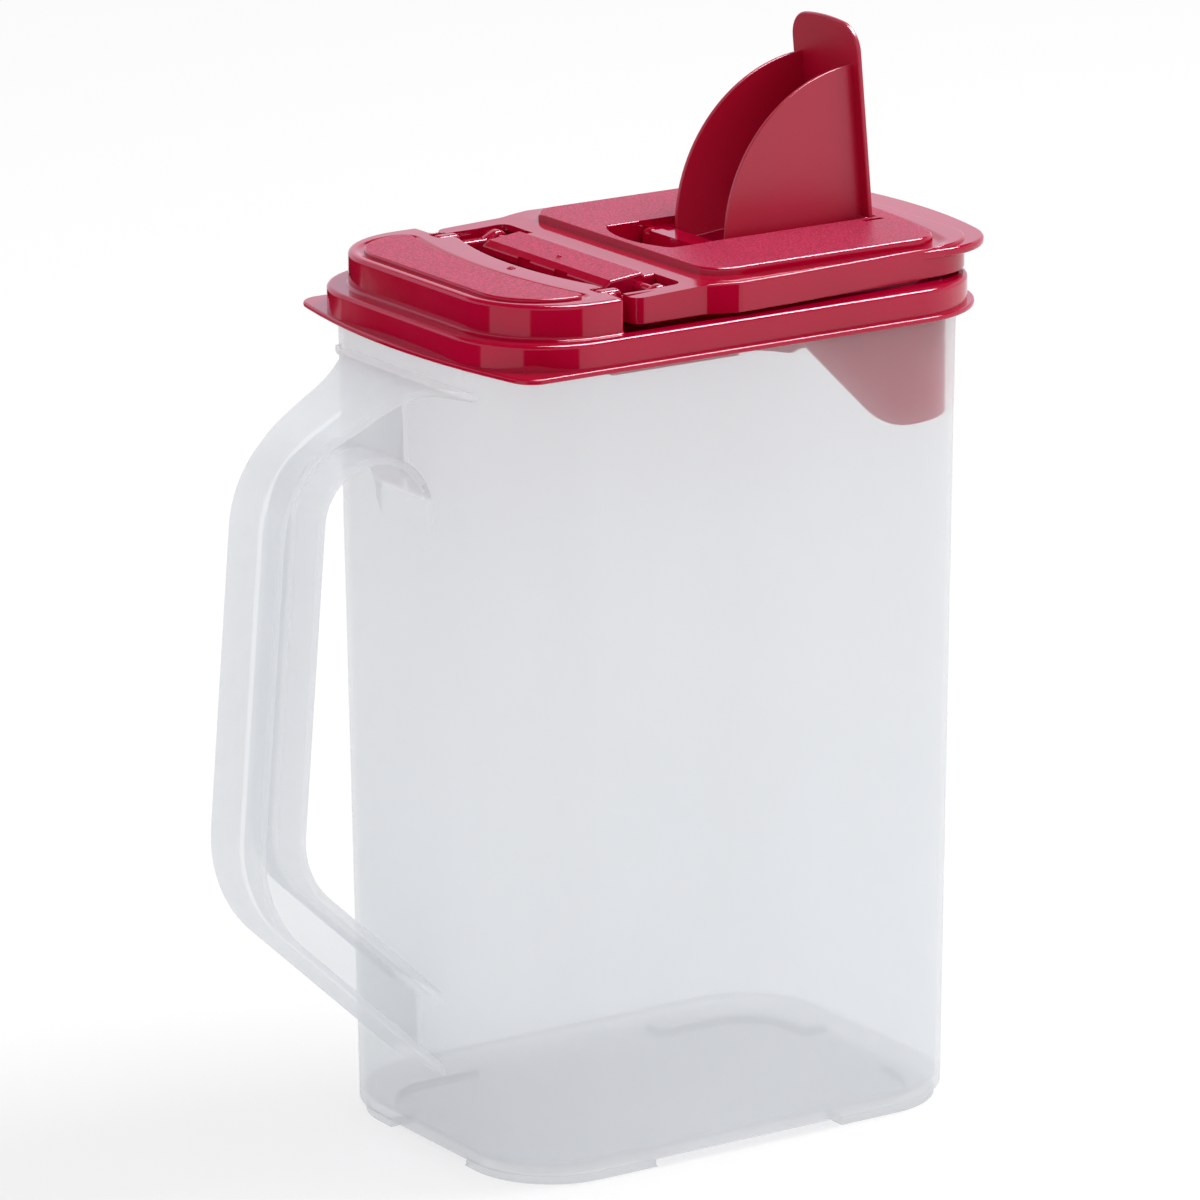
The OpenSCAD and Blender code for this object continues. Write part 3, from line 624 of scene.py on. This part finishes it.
def make_baffle():
    """The wall that hangs into the jug round the pour opening: low in front and cut away aslant behind."""
    shell = ring_solid(rounded(*BAFFLE_HALF, BAFFLE_CORNER, 14), INNER_WALL, BAFFLE_Z, LEDGE_Z - 1)
    keep = solid(rounded_path(BAFFLE_SIDE, steps=6), across(-80, 80), upright_lay)
    arch = solid(rounded_path(BAFFLE_ARCH, steps=6), across(*BAFFLE_FRONT), cross_lay)
    return combine("tool", shell, [("INTERSECT", keep)] + cut(arch))


def make_pocket():
    """The tray under the thumb lever, closed behind by a wall below the deck's front."""
    shell = block(-47.8, POCKET_FRONT + 1.4, -54.46, 54.46, POCKET_LOW, LEDGE_Z - 0.4)
    room = block(-43, POCKET_FRONT, -POCKET_HALF, POCKET_HALF, POCKET_FLOOR, LEDGE_Z + 5)
    inside_deck = solid(deck_outline(POCKET_WALL), across(SKIRT_Z - 10, LEDGE_Z + 5))
    wall = solid(deck_outline(), across(POCKET_LOW + 0.3, LEDGE_Z - 0.1))
    inside_wall = solid(deck_outline(POCKET_WALL), across(POCKET_LOW - 1, LEDGE_Z + 1))
    within = block(POCKET_BACK, -30, -54.4, 54.4, POCKET_LOW - 1, LEDGE_Z + 1)
    wall = combine("tool", wall, cut(inside_wall) + [("INTERSECT", within)])
    return combine("tool", shell, cut(room, inside_deck) + add(wall))


HINGE = (-24, 250)  # the flap's hinge line
EAR_Y = 41.5
EAR_HALF = 1.9
EAR_RADIUS = 3
EAR_BORE = 2
EAR_BACK = -44.4


def make_ear(side_y):
    """A snap-in ear: a bar set into the deck's top, then a lower arm to the bore for the flap's pin."""
    x, z = HINGE
    arm_low, arm_top, bar_top = z - 3.7, z + 1.2, DECK_Z - 0.1
    side = [(EAR_BACK, arm_low), (x, arm_low)] + arc(HINGE, EAR_RADIUS, -70, 120, 14)
    side += [(x - 4.6, arm_top, 1.5), (-36.9, arm_top, 1), (-37.2, bar_top, 1.4), (EAR_BACK, bar_top, 1)]
    bar = solid(rounded_path(side), rolled(side_y - EAR_HALF, side_y + EAR_HALF, 1.1, 1.1), upright_lay)
    hole = solid(circle(HINGE, EAR_BORE), across(side_y - 3, side_y + 3), upright_lay)
    mouth = block(x, x + 6, side_y - 3, side_y + 3, z - 1.6, z + 1.6)
    return combine("tool", bar, cut(hole, mouth))


def ear_groove(side_y):
    """The narrow groove round the ear's bar in the deck's top."""
    back, front, half = -45.3, -36, 2.8
    return solid(rounded_path([(back, side_y - half, 1.2), (front, side_y - half),
                               (front, side_y + half), (back, side_y + half, 1.2)]),
                 flared(DECK_Z - 1.0, DECK_Z, 0.25))


# ---- flap ----

FLAP_Z = 245.1  # its underside
MARGIN_Z = DECK_Z  # its top round the plateau
PLATEAU_Z = 256
FLAP_WALL = 1.6
FLAP_SIDE = [(-38.5, -52, 3.6), (-15.6, -52, 6), (-5.6, -55.2, 6), (12, -54.4), (46, -51.8), (64, -50.3)]
FLAP_CORNER = ((64, -31.3), 19)  # centre and radius
PLATEAU = {"back": -10.5, "tip": 74.2, "half": 47, "radius": 160, "corner": 9, "back_corner": 9}
CHANNEL = {"back": -3, "tip": 75.4, "half": 48.2, "radius": 160, "corner": 10, "back_corner": 10}
LIP = {"back": 55, "tip": LIP_TIP, "half": 51, "radius": 150, "corner": 22}
LIP_Z = (250.5, 253)
RAILS_NOTCH = [(-45, -45.6), (-18.6, -45.6, 3), (-18.6, 45.6, 3), (-45, 45.6)]
RAILS_RAMP = [(-45, 252.4), (-17.8, 253.4), (-10, MARGIN_Z + 0.02), (-10, 260), (-45, 260)]
RIBS_Z = 247.1  # lower edge of the walls under the flap
RIBS_TOP = MARGIN_Z - 0.8
SEAL_WALL = 1.2
SEAL_Z = 246.1  # lower edge of the rib round the pour opening

SPOUT_HINGE = (64, 253.8)
SPOUT_BORE = 1.6
SEAT_TOP = PLATEAU_Z - 0.8
SEAT_BACK = 8  # the spout's recess starts here, and the finger well is behind it
SEAT_END = 67.2
SEAT_HALF = 16.7
WELL_BACK = -3
WELL_Z = 249  # floor of the well
SILL_Z = 254.3
RECESS_Z = 253.9  # floor of the recess, a little below the sill
POST_AT = (10.4, 13.6)  # the well's two posts, on both sides
POST_RADIUS = 2.6
SLIT_Y = 19.4  # the slits beside the spout's bearings

LEVER_HALF = 31.5
LEVER_PAD = [(-22.9, 254.3, 0.5), (-33.2, 253.25, 0.4)]  # its top
PIN_Y = 38.75
PIN_RADIUS = 1.9
PIN_LENGTH = 16.1


def flap_outline(inset=0):
    """The flap seen from above, with the lever's end at -X."""
    line = rounded_path(mirrored(FLAP_SIDE + arc(*FLAP_CORNER, -88, 0, 14)), steps=6)
    return [tuple(p) for p in grown(line, -inset)] if inset else line


def bowed_end(tip, half, radius, corner, steps=12):
    """The +X end of an outline: a bowed edge between two round corners."""
    middle = tip - radius
    corner_y = half - corner
    corner_x = middle + math.sqrt((radius - corner) ** 2 - corner_y ** 2)
    turn = math.degrees(math.atan2(corner_y, corner_x - middle))
    return (arc((corner_x, -corner_y), corner, -90, -turn, steps)
            + arc((middle, 0), radius, -turn, turn, 2 * steps)[1:-1]
            + arc((corner_x, corner_y), corner, turn, 90, steps))


def bowed_outline(back, tip, half, radius, corner, back_corner=0):
    """Straight behind and at the sides, with a bowed end in front."""
    return rounded_path([(back, -half, back_corner), *bowed_end(tip, half, radius, corner),
                         (back, half, back_corner)], steps=12)


def well_outline():
    """The finger well: a bowed end between two tight corners."""
    end = bow((WELL_BACK, SEAT_HALF), (WELL_BACK, -SEAT_HALF), 34, 14)
    front = SEAT_BACK + 0.01
    return rounded_path([(front, -SEAT_HALF), (front, SEAT_HALF),
                         (*end[0], 1.6), *end[1:-1], (*end[-1], 1.6)], steps=6)


def across_block(x0, x1, half, z0, z1):
    """A block in the middle of the part's width."""
    return block(x0, x1, -half, half, z0, z1)


def both(x0, x1, middle, half, z0, z1):
    """Two blocks, one to each side, with their middles that far out."""
    return [block(x0, x1, side * middle - half, side * middle + half, z0, z1) for side in (-1, 1)]


def flap_top():
    """The pouring lip, the plateau in its dish, the hollow underneath, and the rails beside the deck."""
    lip = solid(bowed_outline(**LIP), rolled(*LIP_Z, 0.9, 0.9))
    channel = solid(bowed_outline(**CHANNEL), dished(MARGIN_Z - 0.8, MARGIN_Z, 3.4))
    plateau = solid(bowed_outline(**PLATEAU), rolled(MARGIN_Z - 2, PLATEAU_Z, 0, 1.0))
    room = solid(flap_outline(FLAP_WALL), across(FLAP_Z - 1, MARGIN_Z - 2.3))
    plateau_room = solid(bowed_outline(**PLATEAU),
                         [(-FLAP_WALL, FLAP_Z - 1), (-FLAP_WALL, PLATEAU_Z - FLAP_WALL)])
    notch = solid(rounded_path(RAILS_NOTCH), across(FLAP_Z - 1, MARGIN_Z + 5))
    rails = solid(RAILS_RAMP, across(-60, 60), upright_lay)
    return add(lip) + cut(channel) + add(plateau) + cut(room, plateau_room, notch, rails)


def flap_underside():
    """The walls beside and across the lever, those round the spout's seat and well, and the seal rib."""
    walls = both(-38.4, -16.2, 46.4, 0.8, RIBS_Z, RIBS_TOP)
    walls.append(across_block(-17.8, -16.2, 47.6, RIBS_Z, RIBS_TOP))
    seat = across_block(SEAT_BACK, SEAT_END + 1.6, 18.3, 252.3, SEAT_TOP)
    tub = solid(well_outline(), [(1.6, RIBS_Z + 0.3), (1.6, SEAT_TOP)])
    bearings = across_block(60, 68, 23.3, 250.6, SEAT_TOP)
    rib = ring_solid(opening_outline(1.4 + 0.5 + 1.2), SEAL_WALL, SEAL_Z, RIBS_TOP)
    rib = combine("tool", rib, cut(block(-20, 12, -60, 60, 240, 260)))
    return add(*walls, seat, tub, bearings, rib)


def spout_seat():
    """The finger well with its posts, the spout's recess, and holes for its cheeks, knuckle and pins."""
    well = solid(well_outline(), flared(WELL_Z, PLATEAU_Z, 0.6, 1.2))
    post_x, post_y = POST_AT
    posts = [solid(circle((post_x, side * post_y), POST_RADIUS), rolled(248, 254.35, 0, 1.8))
             for side in (-1, 1)]
    post_rooms = [block(SEAT_BACK - 0.1, post_x, *sorted((side * 11, side * (SEAT_HALF - 0.01))),
                        WELL_Z, 255) for side in (-1, 1)]
    sill = across_block(SEAT_BACK, SEAT_END, SEAT_HALF, SILL_Z, PLATEAU_Z + 3)
    recess = across_block(12, SEAT_END, SEAT_HALF, RECESS_Z, PLATEAU_Z + 3)
    cheek_hole = across_block(16.3, 64, 13.6, FLAP_Z - 5, PLATEAU_Z + 3)
    knuckle_hole = across_block(60.9, SEAT_END, SEAT_HALF, FLAP_Z - 5, PLATEAU_Z + 3)
    bore = pin((SPOUT_HINGE[0], 0, SPOUT_HINGE[1]), SPOUT_BORE, 43.4, edge=0)
    slits = both(60.75, 67.25, SLIT_Y, 0.9, 254.6, PLATEAU_Z + 2)
    return (cut(well, sill, recess, *post_rooms) + add(*posts)
            + cut(cheek_hole, knuckle_hole, bore, *slits))


def make_flap():
    shell = solid(flap_outline(), rolled(FLAP_Z, MARGIN_Z, 0.3, 0.7))
    pins = [pin((HINGE[0], side * PIN_Y, HINGE[1]), PIN_RADIUS, PIN_LENGTH) for side in (-1, 1)]
    steps = flap_top() + flap_underside() + spout_seat() + add(make_lever(), *pins)
    return combine("flap_shell", shell, steps)


def lever_outline():
    """The thumb lever's side view: a flat strip, a raised pad and a short nose."""
    line = [(-33.6, RIBS_Z), (-16.2, RIBS_Z), (-16.2, 253.45), (-21.9, 253.3, 0.3), *LEVER_PAD,
            (-35.4, 251.7, 0.8), (-35.7, 249.6, 0.6), (-33.6, 249.2, 0.4)]
    return rounded_path(line, steps=4)


def make_lever():
    """The thumb lever, hollow underneath, with two notches in its nose and a nub on its pad."""
    outer = solid(lever_outline(), rolled(-LEVER_HALF, LEVER_HALF, 0.9, 0.9), upright_lay)
    inner_line = [(-32.1, 246), (-17.8, 246), (-17.8, 251.8), (-22.9, 252.7), (-32.1, 251.0)]
    inner = solid(rounded_path(inner_line), across(-LEVER_HALF + 1.6, LEVER_HALF - 1.6), upright_lay)
    notches = [block(-40, -34.9, side * 9.5 - 3.2, side * 9.5 + 3.2, 248, 252.1, 0.3) for side in (-1, 1)]
    nub = pin((-29.7, 0, 253.3), 0.9, 0.9, edge=0.25)
    return combine("tool", outer, cut(inner, *notches) + add(nub))


# ---- spout ----

SPOUT_OPEN = 85
SPOUT_HALF = 16.3
SPOUT_LENGTH = 58.6
SPOUT_TIP_ARC = 75
SPOUT_CORNER = 8
PLATE_Z = (0.9, 2.4)  # above the hinge line when closed
CHEEK_RADIUS = 46.3
CHEEK_TOP = 1.6
CHEEK_Y = 12.4
CHEEK_HALF = 0.6
KNUCKLE = 2.2
SPOUT_PIN = 1.5
SPOUT_PIN_REACH = 5


def spout_lay(u, v, w):
    """The closed spout's own frame about its hinge line, turned up to the open place."""
    turn = math.radians(SPOUT_OPEN)
    x = u * math.cos(turn) + w * math.sin(turn)
    z = w * math.cos(turn) - u * math.sin(turn)
    return SPOUT_HINGE[0] + x, v, SPOUT_HINGE[1] + z


def spout_upright_lay(u, v, w):
    return spout_lay(u, w, v)


def make_spout():
    half = SPOUT_HALF
    tip = bowed_end(SPOUT_LENGTH, half, SPOUT_TIP_ARC, SPOUT_CORNER)
    outline = [(-x, -y) for x, y in tip] + [(0, -half), (0, half)]
    plate = solid(outline, rolled(*PLATE_Z, 0.5, 0.5), spout_lay)
    quadrant = [(0, CHEEK_TOP), (-CHEEK_RADIUS, CHEEK_TOP)] + arc((0, 0), CHEEK_RADIUS, 180, 270, 30)
    cheeks = [solid(quadrant, rolled(side * CHEEK_Y - CHEEK_HALF, side * CHEEK_Y + CHEEK_HALF, 0.35, 0.35),
                    spout_upright_lay) for side in (-1, 1)]
    knuckle = solid(circle((0, 0), KNUCKLE), rolled(-half, half, 0.4, 0.4), spout_upright_lay)
    reach = half + SPOUT_PIN_REACH
    pins = solid(circle((0, 0), SPOUT_PIN), rolled(-reach, reach, 0.3, 0.3), spout_upright_lay)
    return combine("spout_shell", plate, add(*cheeks, knuckle, pins))


# ---- camera ----

VIEW_FROM = (-1190.47, -1794.98, 742.67)
VIEW_TO = (-16.65, 0, 152.05)
VIEW_ROLL = math.radians(-0.305)
LENS = 235.1
SENSOR = 36
CLIP = (0.1, 50)


def facing(here, there, roll=0):
    """The placing of a camera or lamp at here that looks at there."""
    turn = (there - here).to_track_quat("-Z", "Y").to_matrix().to_4x4()
    return Matrix.Translation(here) @ turn @ Matrix.Rotation(roll, 4, "Z")


def add_camera():
    data = bpy.data.cameras.new("camera")
    data.lens = LENS
    data.sensor_width = SENSOR
    data.sensor_fit = "HORIZONTAL"
    data.clip_start, data.clip_end = CLIP
    camera = linked("camera", data)
    camera.matrix_world = facing(place(*VIEW_FROM), place(*VIEW_TO), VIEW_ROLL)
    bpy.context.scene.camera = camera


# ---- materials ----

LID_SHEEN = (1.0, 0.84, 0.95, 1)
RELIEF = 0.0002  # height in metres of the lid's unevenness and of its grain
SPREAD = (0.35, 0.65)
JUG_ROUGHNESS = 0.25
JUG_SHINE = 0.2
CLEAR_TINT = (0.985, 0.99, 0.995, 1)
MILK_THROUGH = 0.5  # share of the scattered light that comes out on the far side

# Share of the light that each of the jug's surfaces lets straight through.
CLEAR_SKIN = 0.59
CLEAR_LINING = 0.94
CLEAR_HANDLE = 0.45
CLEAR_BASE = 0.55


def new_material(name):
    """A material with its nodes, its links and its main shader."""
    material = bpy.data.materials.new(name)
    material.use_nodes = True
    nodes = material.node_tree.nodes
    return material, nodes, material.node_tree.links, nodes["Principled BSDF"]


def noise(nodes, links, scale, detail=2.0):
    """A cloudy texture fixed to the object."""
    coordinates = nodes.new("ShaderNodeTexCoord")
    texture = nodes.new("ShaderNodeTexNoise")
    texture.inputs["Scale"].default_value = scale
    texture.inputs["Detail"].default_value = detail
    links.new(coordinates.outputs["Object"], texture.inputs["Vector"])
    return texture


def bump(nodes, links, shader, texture, strength):
    node = nodes.new("ShaderNodeBump")
    node.inputs["Strength"].default_value = strength
    node.inputs["Distance"].default_value = RELIEF
    links.new(texture.outputs["Fac"], node.inputs["Height"])
    links.new(node.outputs["Normal"], shader.inputs["Normal"])


def ramp(nodes, links, texture, low, high, spread=SPREAD):
    """Maps a texture to a range between two colours."""
    node = nodes.new("ShaderNodeValToRGB")
    node.color_ramp.elements[0].position, node.color_ramp.elements[1].position = spread
    node.color_ramp.elements[0].color, node.color_ramp.elements[1].color = low, high
    links.new(texture.outputs["Fac"], node.inputs["Fac"])
    return node


def mixed(nodes, links, share, first, second):
    """A mix of two shaders, by a number or by another node's value."""
    mix = nodes.new("ShaderNodeMixShader")
    if isinstance(share, float):
        mix.inputs[0].default_value = share
    else:
        links.new(share, mix.inputs[0])
    links.new(first.outputs[0], mix.inputs[1])
    links.new(second.outputs[0], mix.inputs[2])
    return mix


def grey(value):
    return (value, value, value, 1)


def lid_material(name, tones, roughness, shine=0.5, texture=(25, 2.0), spread=SPREAD, relief=None):
    """Crimson moulded plastic. One texture varies its tone and roughness, and relief adds bumps."""
    material, nodes, links, shader = new_material(name)
    cloud = noise(nodes, links, *texture)
    tone = ramp(nodes, links, cloud, *tones, spread)
    links.new(tone.outputs["Color"], shader.inputs["Base Color"])
    if isinstance(roughness, tuple):
        polish = ramp(nodes, links, cloud, *map(grey, roughness))
        links.new(polish.outputs["Color"], shader.inputs["Roughness"])
    else:
        shader.inputs["Roughness"].default_value = roughness
    if relief:
        scale, detail, strength = relief
        bump(nodes, links, shader, noise(nodes, links, scale, detail), strength)
    shader.inputs["Specular IOR Level"].default_value = shine
    shader.inputs["Specular Tint"].default_value = LID_SHEEN
    return material


def jug_material(name, clear_share, dark, pale):
    """Milky plastic: each surface lets part of the light straight through and scatters the rest."""
    material, nodes, links, shader = new_material(name)
    tone = ramp(nodes, links, noise(nodes, links, 12), dark, pale)
    links.new(tone.outputs["Color"], shader.inputs["Base Color"])
    shader.inputs["Roughness"].default_value = JUG_ROUGHNESS
    shader.inputs["Specular IOR Level"].default_value = JUG_SHINE
    clear = nodes.new("ShaderNodeBsdfTransparent")
    clear.inputs["Color"].default_value = CLEAR_TINT
    milk = nodes.new("ShaderNodeBsdfTranslucent")
    links.new(tone.outputs["Color"], milk.inputs["Color"])
    body = mixed(nodes, links, MILK_THROUGH, shader, milk)
    see = mixed(nodes, links, 1 - clear_share, clear, body)
    links.new(see.outputs[0], nodes["Material Output"].inputs["Surface"])
    return material


# ---- stage ----

FLOOR_HALF = 6
FLOOR_COLOUR = (0.93, 0.93, 0.94, 1)
SEEN_WHITE = 0.6  # share of the floor's look, to the camera alone, that is plain white
WORLD_LIGHT = 0.8
GLOSS_TINT = (1.0, 0.95, 1.12, 1)
# The glow of the highlight card, seen only in the gloss: a painted highlight, not a lamp.
CARD_GLOW = (1, 0.97, 1, 1)
KEY = {"at": (1.16, -0.33, 1.98), "aim": (0, 0, 0.15), "size": 0.8, "power": 24}


def square(half):
    """The corners of a square about the origin."""
    return [(-half, -half), (half, -half), (half, half), (-half, half)]


# Name, corners in metres, height and glow. The cards light nothing and cast no shadow: the dark ones are
# painted dark reflections, and the glowing one is a painted highlight, all seen only in the gloss.
CARDS = [("dark_reflection_front", [(0.06, -0.60), (-0.53, -0.38), (-1.75, -1.35), (-1.2, -2.2), (0.20, -2.2)],
          0.003, 0),
         ("dark_reflection_above", square(1.6), 1.3, 0.04),
         # A glowing card seen only in the gloss: a painted highlight, not a lamp.
         ("highlight_card", [(0.05, -0.45), (1.0, -0.45), (1.0, 0.20), (0.05, 0.20)], 1.25, 26),
         ("dark_reflection_left", [(-0.93, 0.19), (-0.20, 0.45), (-0.20, 0.886), (-0.58, 0.886), (-0.66, 1.035),
                        (-0.86, 1.5), (-0.86, 2.8), (-3.5, 3.4), (-3.5, 0.7)], 0.003, 0),
         ("dark_reflection_far", [(0.30, 0.985), (0.30, 1.6), (-0.80, 1.6), (-0.80, 0.985)], 0.003, 0)]


def sheet(name, corners, height):
    """One flat face, in metres."""
    mesh = bpy.data.meshes.new(name)
    mesh.from_pydata([(x, y, height) for x, y in corners], [], [tuple(range(len(corners)))])
    return linked(name, mesh)


def add_floor():
    """A pale matt floor, which the camera sees as part plain white."""
    floor = sheet("floor", square(FLOOR_HALF), 0)
    material, nodes, links, shader = new_material("floor_white")
    shader.inputs["Base Color"].default_value = FLOOR_COLOUR
    shader.inputs["Roughness"].default_value = 0.7
    shader.inputs["Specular IOR Level"].default_value = 0
    plain_white = nodes.new("ShaderNodeEmission")
    share = nodes.new("ShaderNodeMath")
    share.operation = "MULTIPLY"
    share.inputs[1].default_value = SEEN_WHITE
    path = nodes.new("ShaderNodeLightPath")
    links.new(path.outputs["Is Camera Ray"], share.inputs[0])
    look = mixed(nodes, links, share.outputs[0], shader, plain_white)
    links.new(look.outputs[0], nodes["Material Output"].inputs["Surface"])
    floor.data.materials.append(material)


def add_card(name, corners, height, glow):
    """A dark or glowing card beside or above the object that shows in its gloss alone: a painted dark
    reflection or a painted highlight, which lights nothing.
    """
    card = sheet(name, corners, height)
    material, nodes, links, shader = new_material(name)
    shader.inputs["Base Color"].default_value = (0.01, 0.01, 0.01, 1)
    shader.inputs["Specular IOR Level"].default_value = 0
    shader.inputs["Emission Color"].default_value = CARD_GLOW
    shader.inputs["Emission Strength"].default_value = glow
    card.data.materials.append(material)
    card.visible_camera = False
    card.visible_diffuse = False
    card.visible_shadow = False
    card.visible_transmission = False


def add_key(at, aim, size, power):
    """The one lamp."""
    data = bpy.data.lights.new("key", "AREA")
    data.shape = "RECTANGLE"
    data.size = data.size_y = size
    data.energy = power
    linked("key", data).matrix_world = facing(Vector(at), Vector(aim))


def add_world():
    """Even white light, and a tint that only the gloss mirrors."""
    world = bpy.data.worlds.new("studio")
    world.use_nodes = True
    nodes, links = world.node_tree.nodes, world.node_tree.links
    look = nodes["Background"]
    look.inputs["Color"].default_value = (1, 1, 1, 1)
    look.inputs["Strength"].default_value = WORLD_LIGHT
    path = nodes.new("ShaderNodeLightPath")
    for ray, colour in (("Is Glossy Ray", GLOSS_TINT), ("Is Camera Ray", (1, 1, 1, 1))):
        seen = nodes.new("ShaderNodeBackground")
        seen.inputs["Color"].default_value = colour
        look = mixed(nodes, links, path.outputs[ray], look, seen)
    links.new(look.outputs[0], nodes["World Output"].inputs["Surface"])
    bpy.context.scene.world = world


add_camera()
add_floor()
add_world()
for card in CARDS:
    add_card(*card)
add_key(**KEY)

bpy.context.scene.view_settings.view_transform = "Standard"

# ---- finishes, and which faces they go on ----

lid_gloss = lid_material("lid_gloss", ((0.40, 0.0, 0.022, 1), (0.43, 0.0, 0.028, 1)), (0.06, 0.11),
                         relief=(90, 2.0, 0.12))
lid_satin = lid_material("lid_satin", ((0.40, 0.0, 0.020, 1), (0.43, 0.0, 0.026, 1)), (0.30, 0.36), 0.75)
lid_grain = lid_material("lid_grain", ((0.30, 0.0, 0.020, 1), (0.62, 0.02, 0.10, 1)), 0.42, 0.3,
                         (1700, 1.0), (0.36, 0.64), (1700, 1.0, 0.35))
# One milky plastic in four finishes. The outer skin is painted a little darker and the inner skin a little
# paler, as painted shade and painted light that even out the walls' brightness; the bottom band is painted
# darker still, as painted shade.
jug_skin = jug_material("jug_skin", CLEAR_SKIN, (0.80, 0.82, 0.835, 1), (0.83, 0.85, 0.865, 1))
jug_lining = jug_material("jug_lining", CLEAR_LINING, (0.835, 0.855, 0.87, 1), (0.865, 0.88, 0.895, 1))
jug_thick = jug_material("jug_thick", CLEAR_HANDLE, (0.90, 0.915, 0.935, 1), (0.93, 0.94, 0.95, 1))
jug_base_shaded = jug_material("jug_base_shaded", CLEAR_BASE, (0.77, 0.78, 0.80, 1), (0.82, 0.83, 0.85, 1))

LEVEL = 0.97  # upward share of a face that lies flat
HANDLE_START = 0.3  # how far from the wall the handle's finish starts
ARCH_START = 2.6  # the same at the end of the arch
ARCH_ZONE = 12  # up to this far from ARCH_Z
PAD_X = (-33, -22.5)
PAD_Z = 252.8


def plain(x, y, z, up):
    """One finish all over."""
    return 0


def jug_parts(x, y, z, up):
    """0 the outer skin, 1 the inner skin, 2 the handle, 3 the bottom with its rounded edge, painted darker
    as shade.
    """
    if z < BASE_ZONE:
        return 3
    start = ARCH_START if abs(z - ARCH_Z) < ARCH_ZONE else HANDLE_START
    if -x - JUG_HALF[0] - z * LEAN > start:
        # The web is a thin wall like the jug's: outer skin on one side, inner skin on the other.
        on_web = abs(abs(y) - FLANGE / 2) < 0.1
        return int(y > 0) if on_web else 2
    beyond = [max(0, abs(v) - half + JUG_CORNER) for v, half in zip((x, y), JUG_HALF)]
    return int(JUG_CORNER - math.hypot(*beyond) + z * LEAN > WALL / 2)


def panel_parts(x, y, z, up):
    """1 the grained panel's top."""
    return int(up > LEVEL and z > DECK_Z + 0.6)


def flap_parts(x, y, z, up):
    """1 the tops of the plateau and of the thumb lever's pad."""
    on_plateau = z > PLATEAU_Z - 0.05
    on_lever = abs(y) < LEVER_HALF - 0.8 and PAD_X[0] < x < PAD_X[1] and z > PAD_Z
    return int(up > LEVEL and (on_plateau or on_lever))


# Maker, CAD node, body, material slot, finishes and rule for the faces.
PIECES = [(make_jug, "jug", "jug", "jug_plastic", (jug_skin, jug_lining, jug_thick, jug_base_shaded), jug_parts),
          (make_lid_base, "lid_base", "lid", "lid_plastic", (lid_gloss, lid_grain), panel_parts),
          (make_flap, "flap", "flap", "lid_plastic", (lid_gloss, lid_grain), flap_parts),
          (make_spout, "spout", "spout", "lid_plastic", (lid_satin,), plain)]
for make, node, body, slot, finishes, pick in PIECES:
    piece = make()
    finish_shape(piece)
    paint(piece, finishes, pick)
    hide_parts(node)
    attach(piece, body)
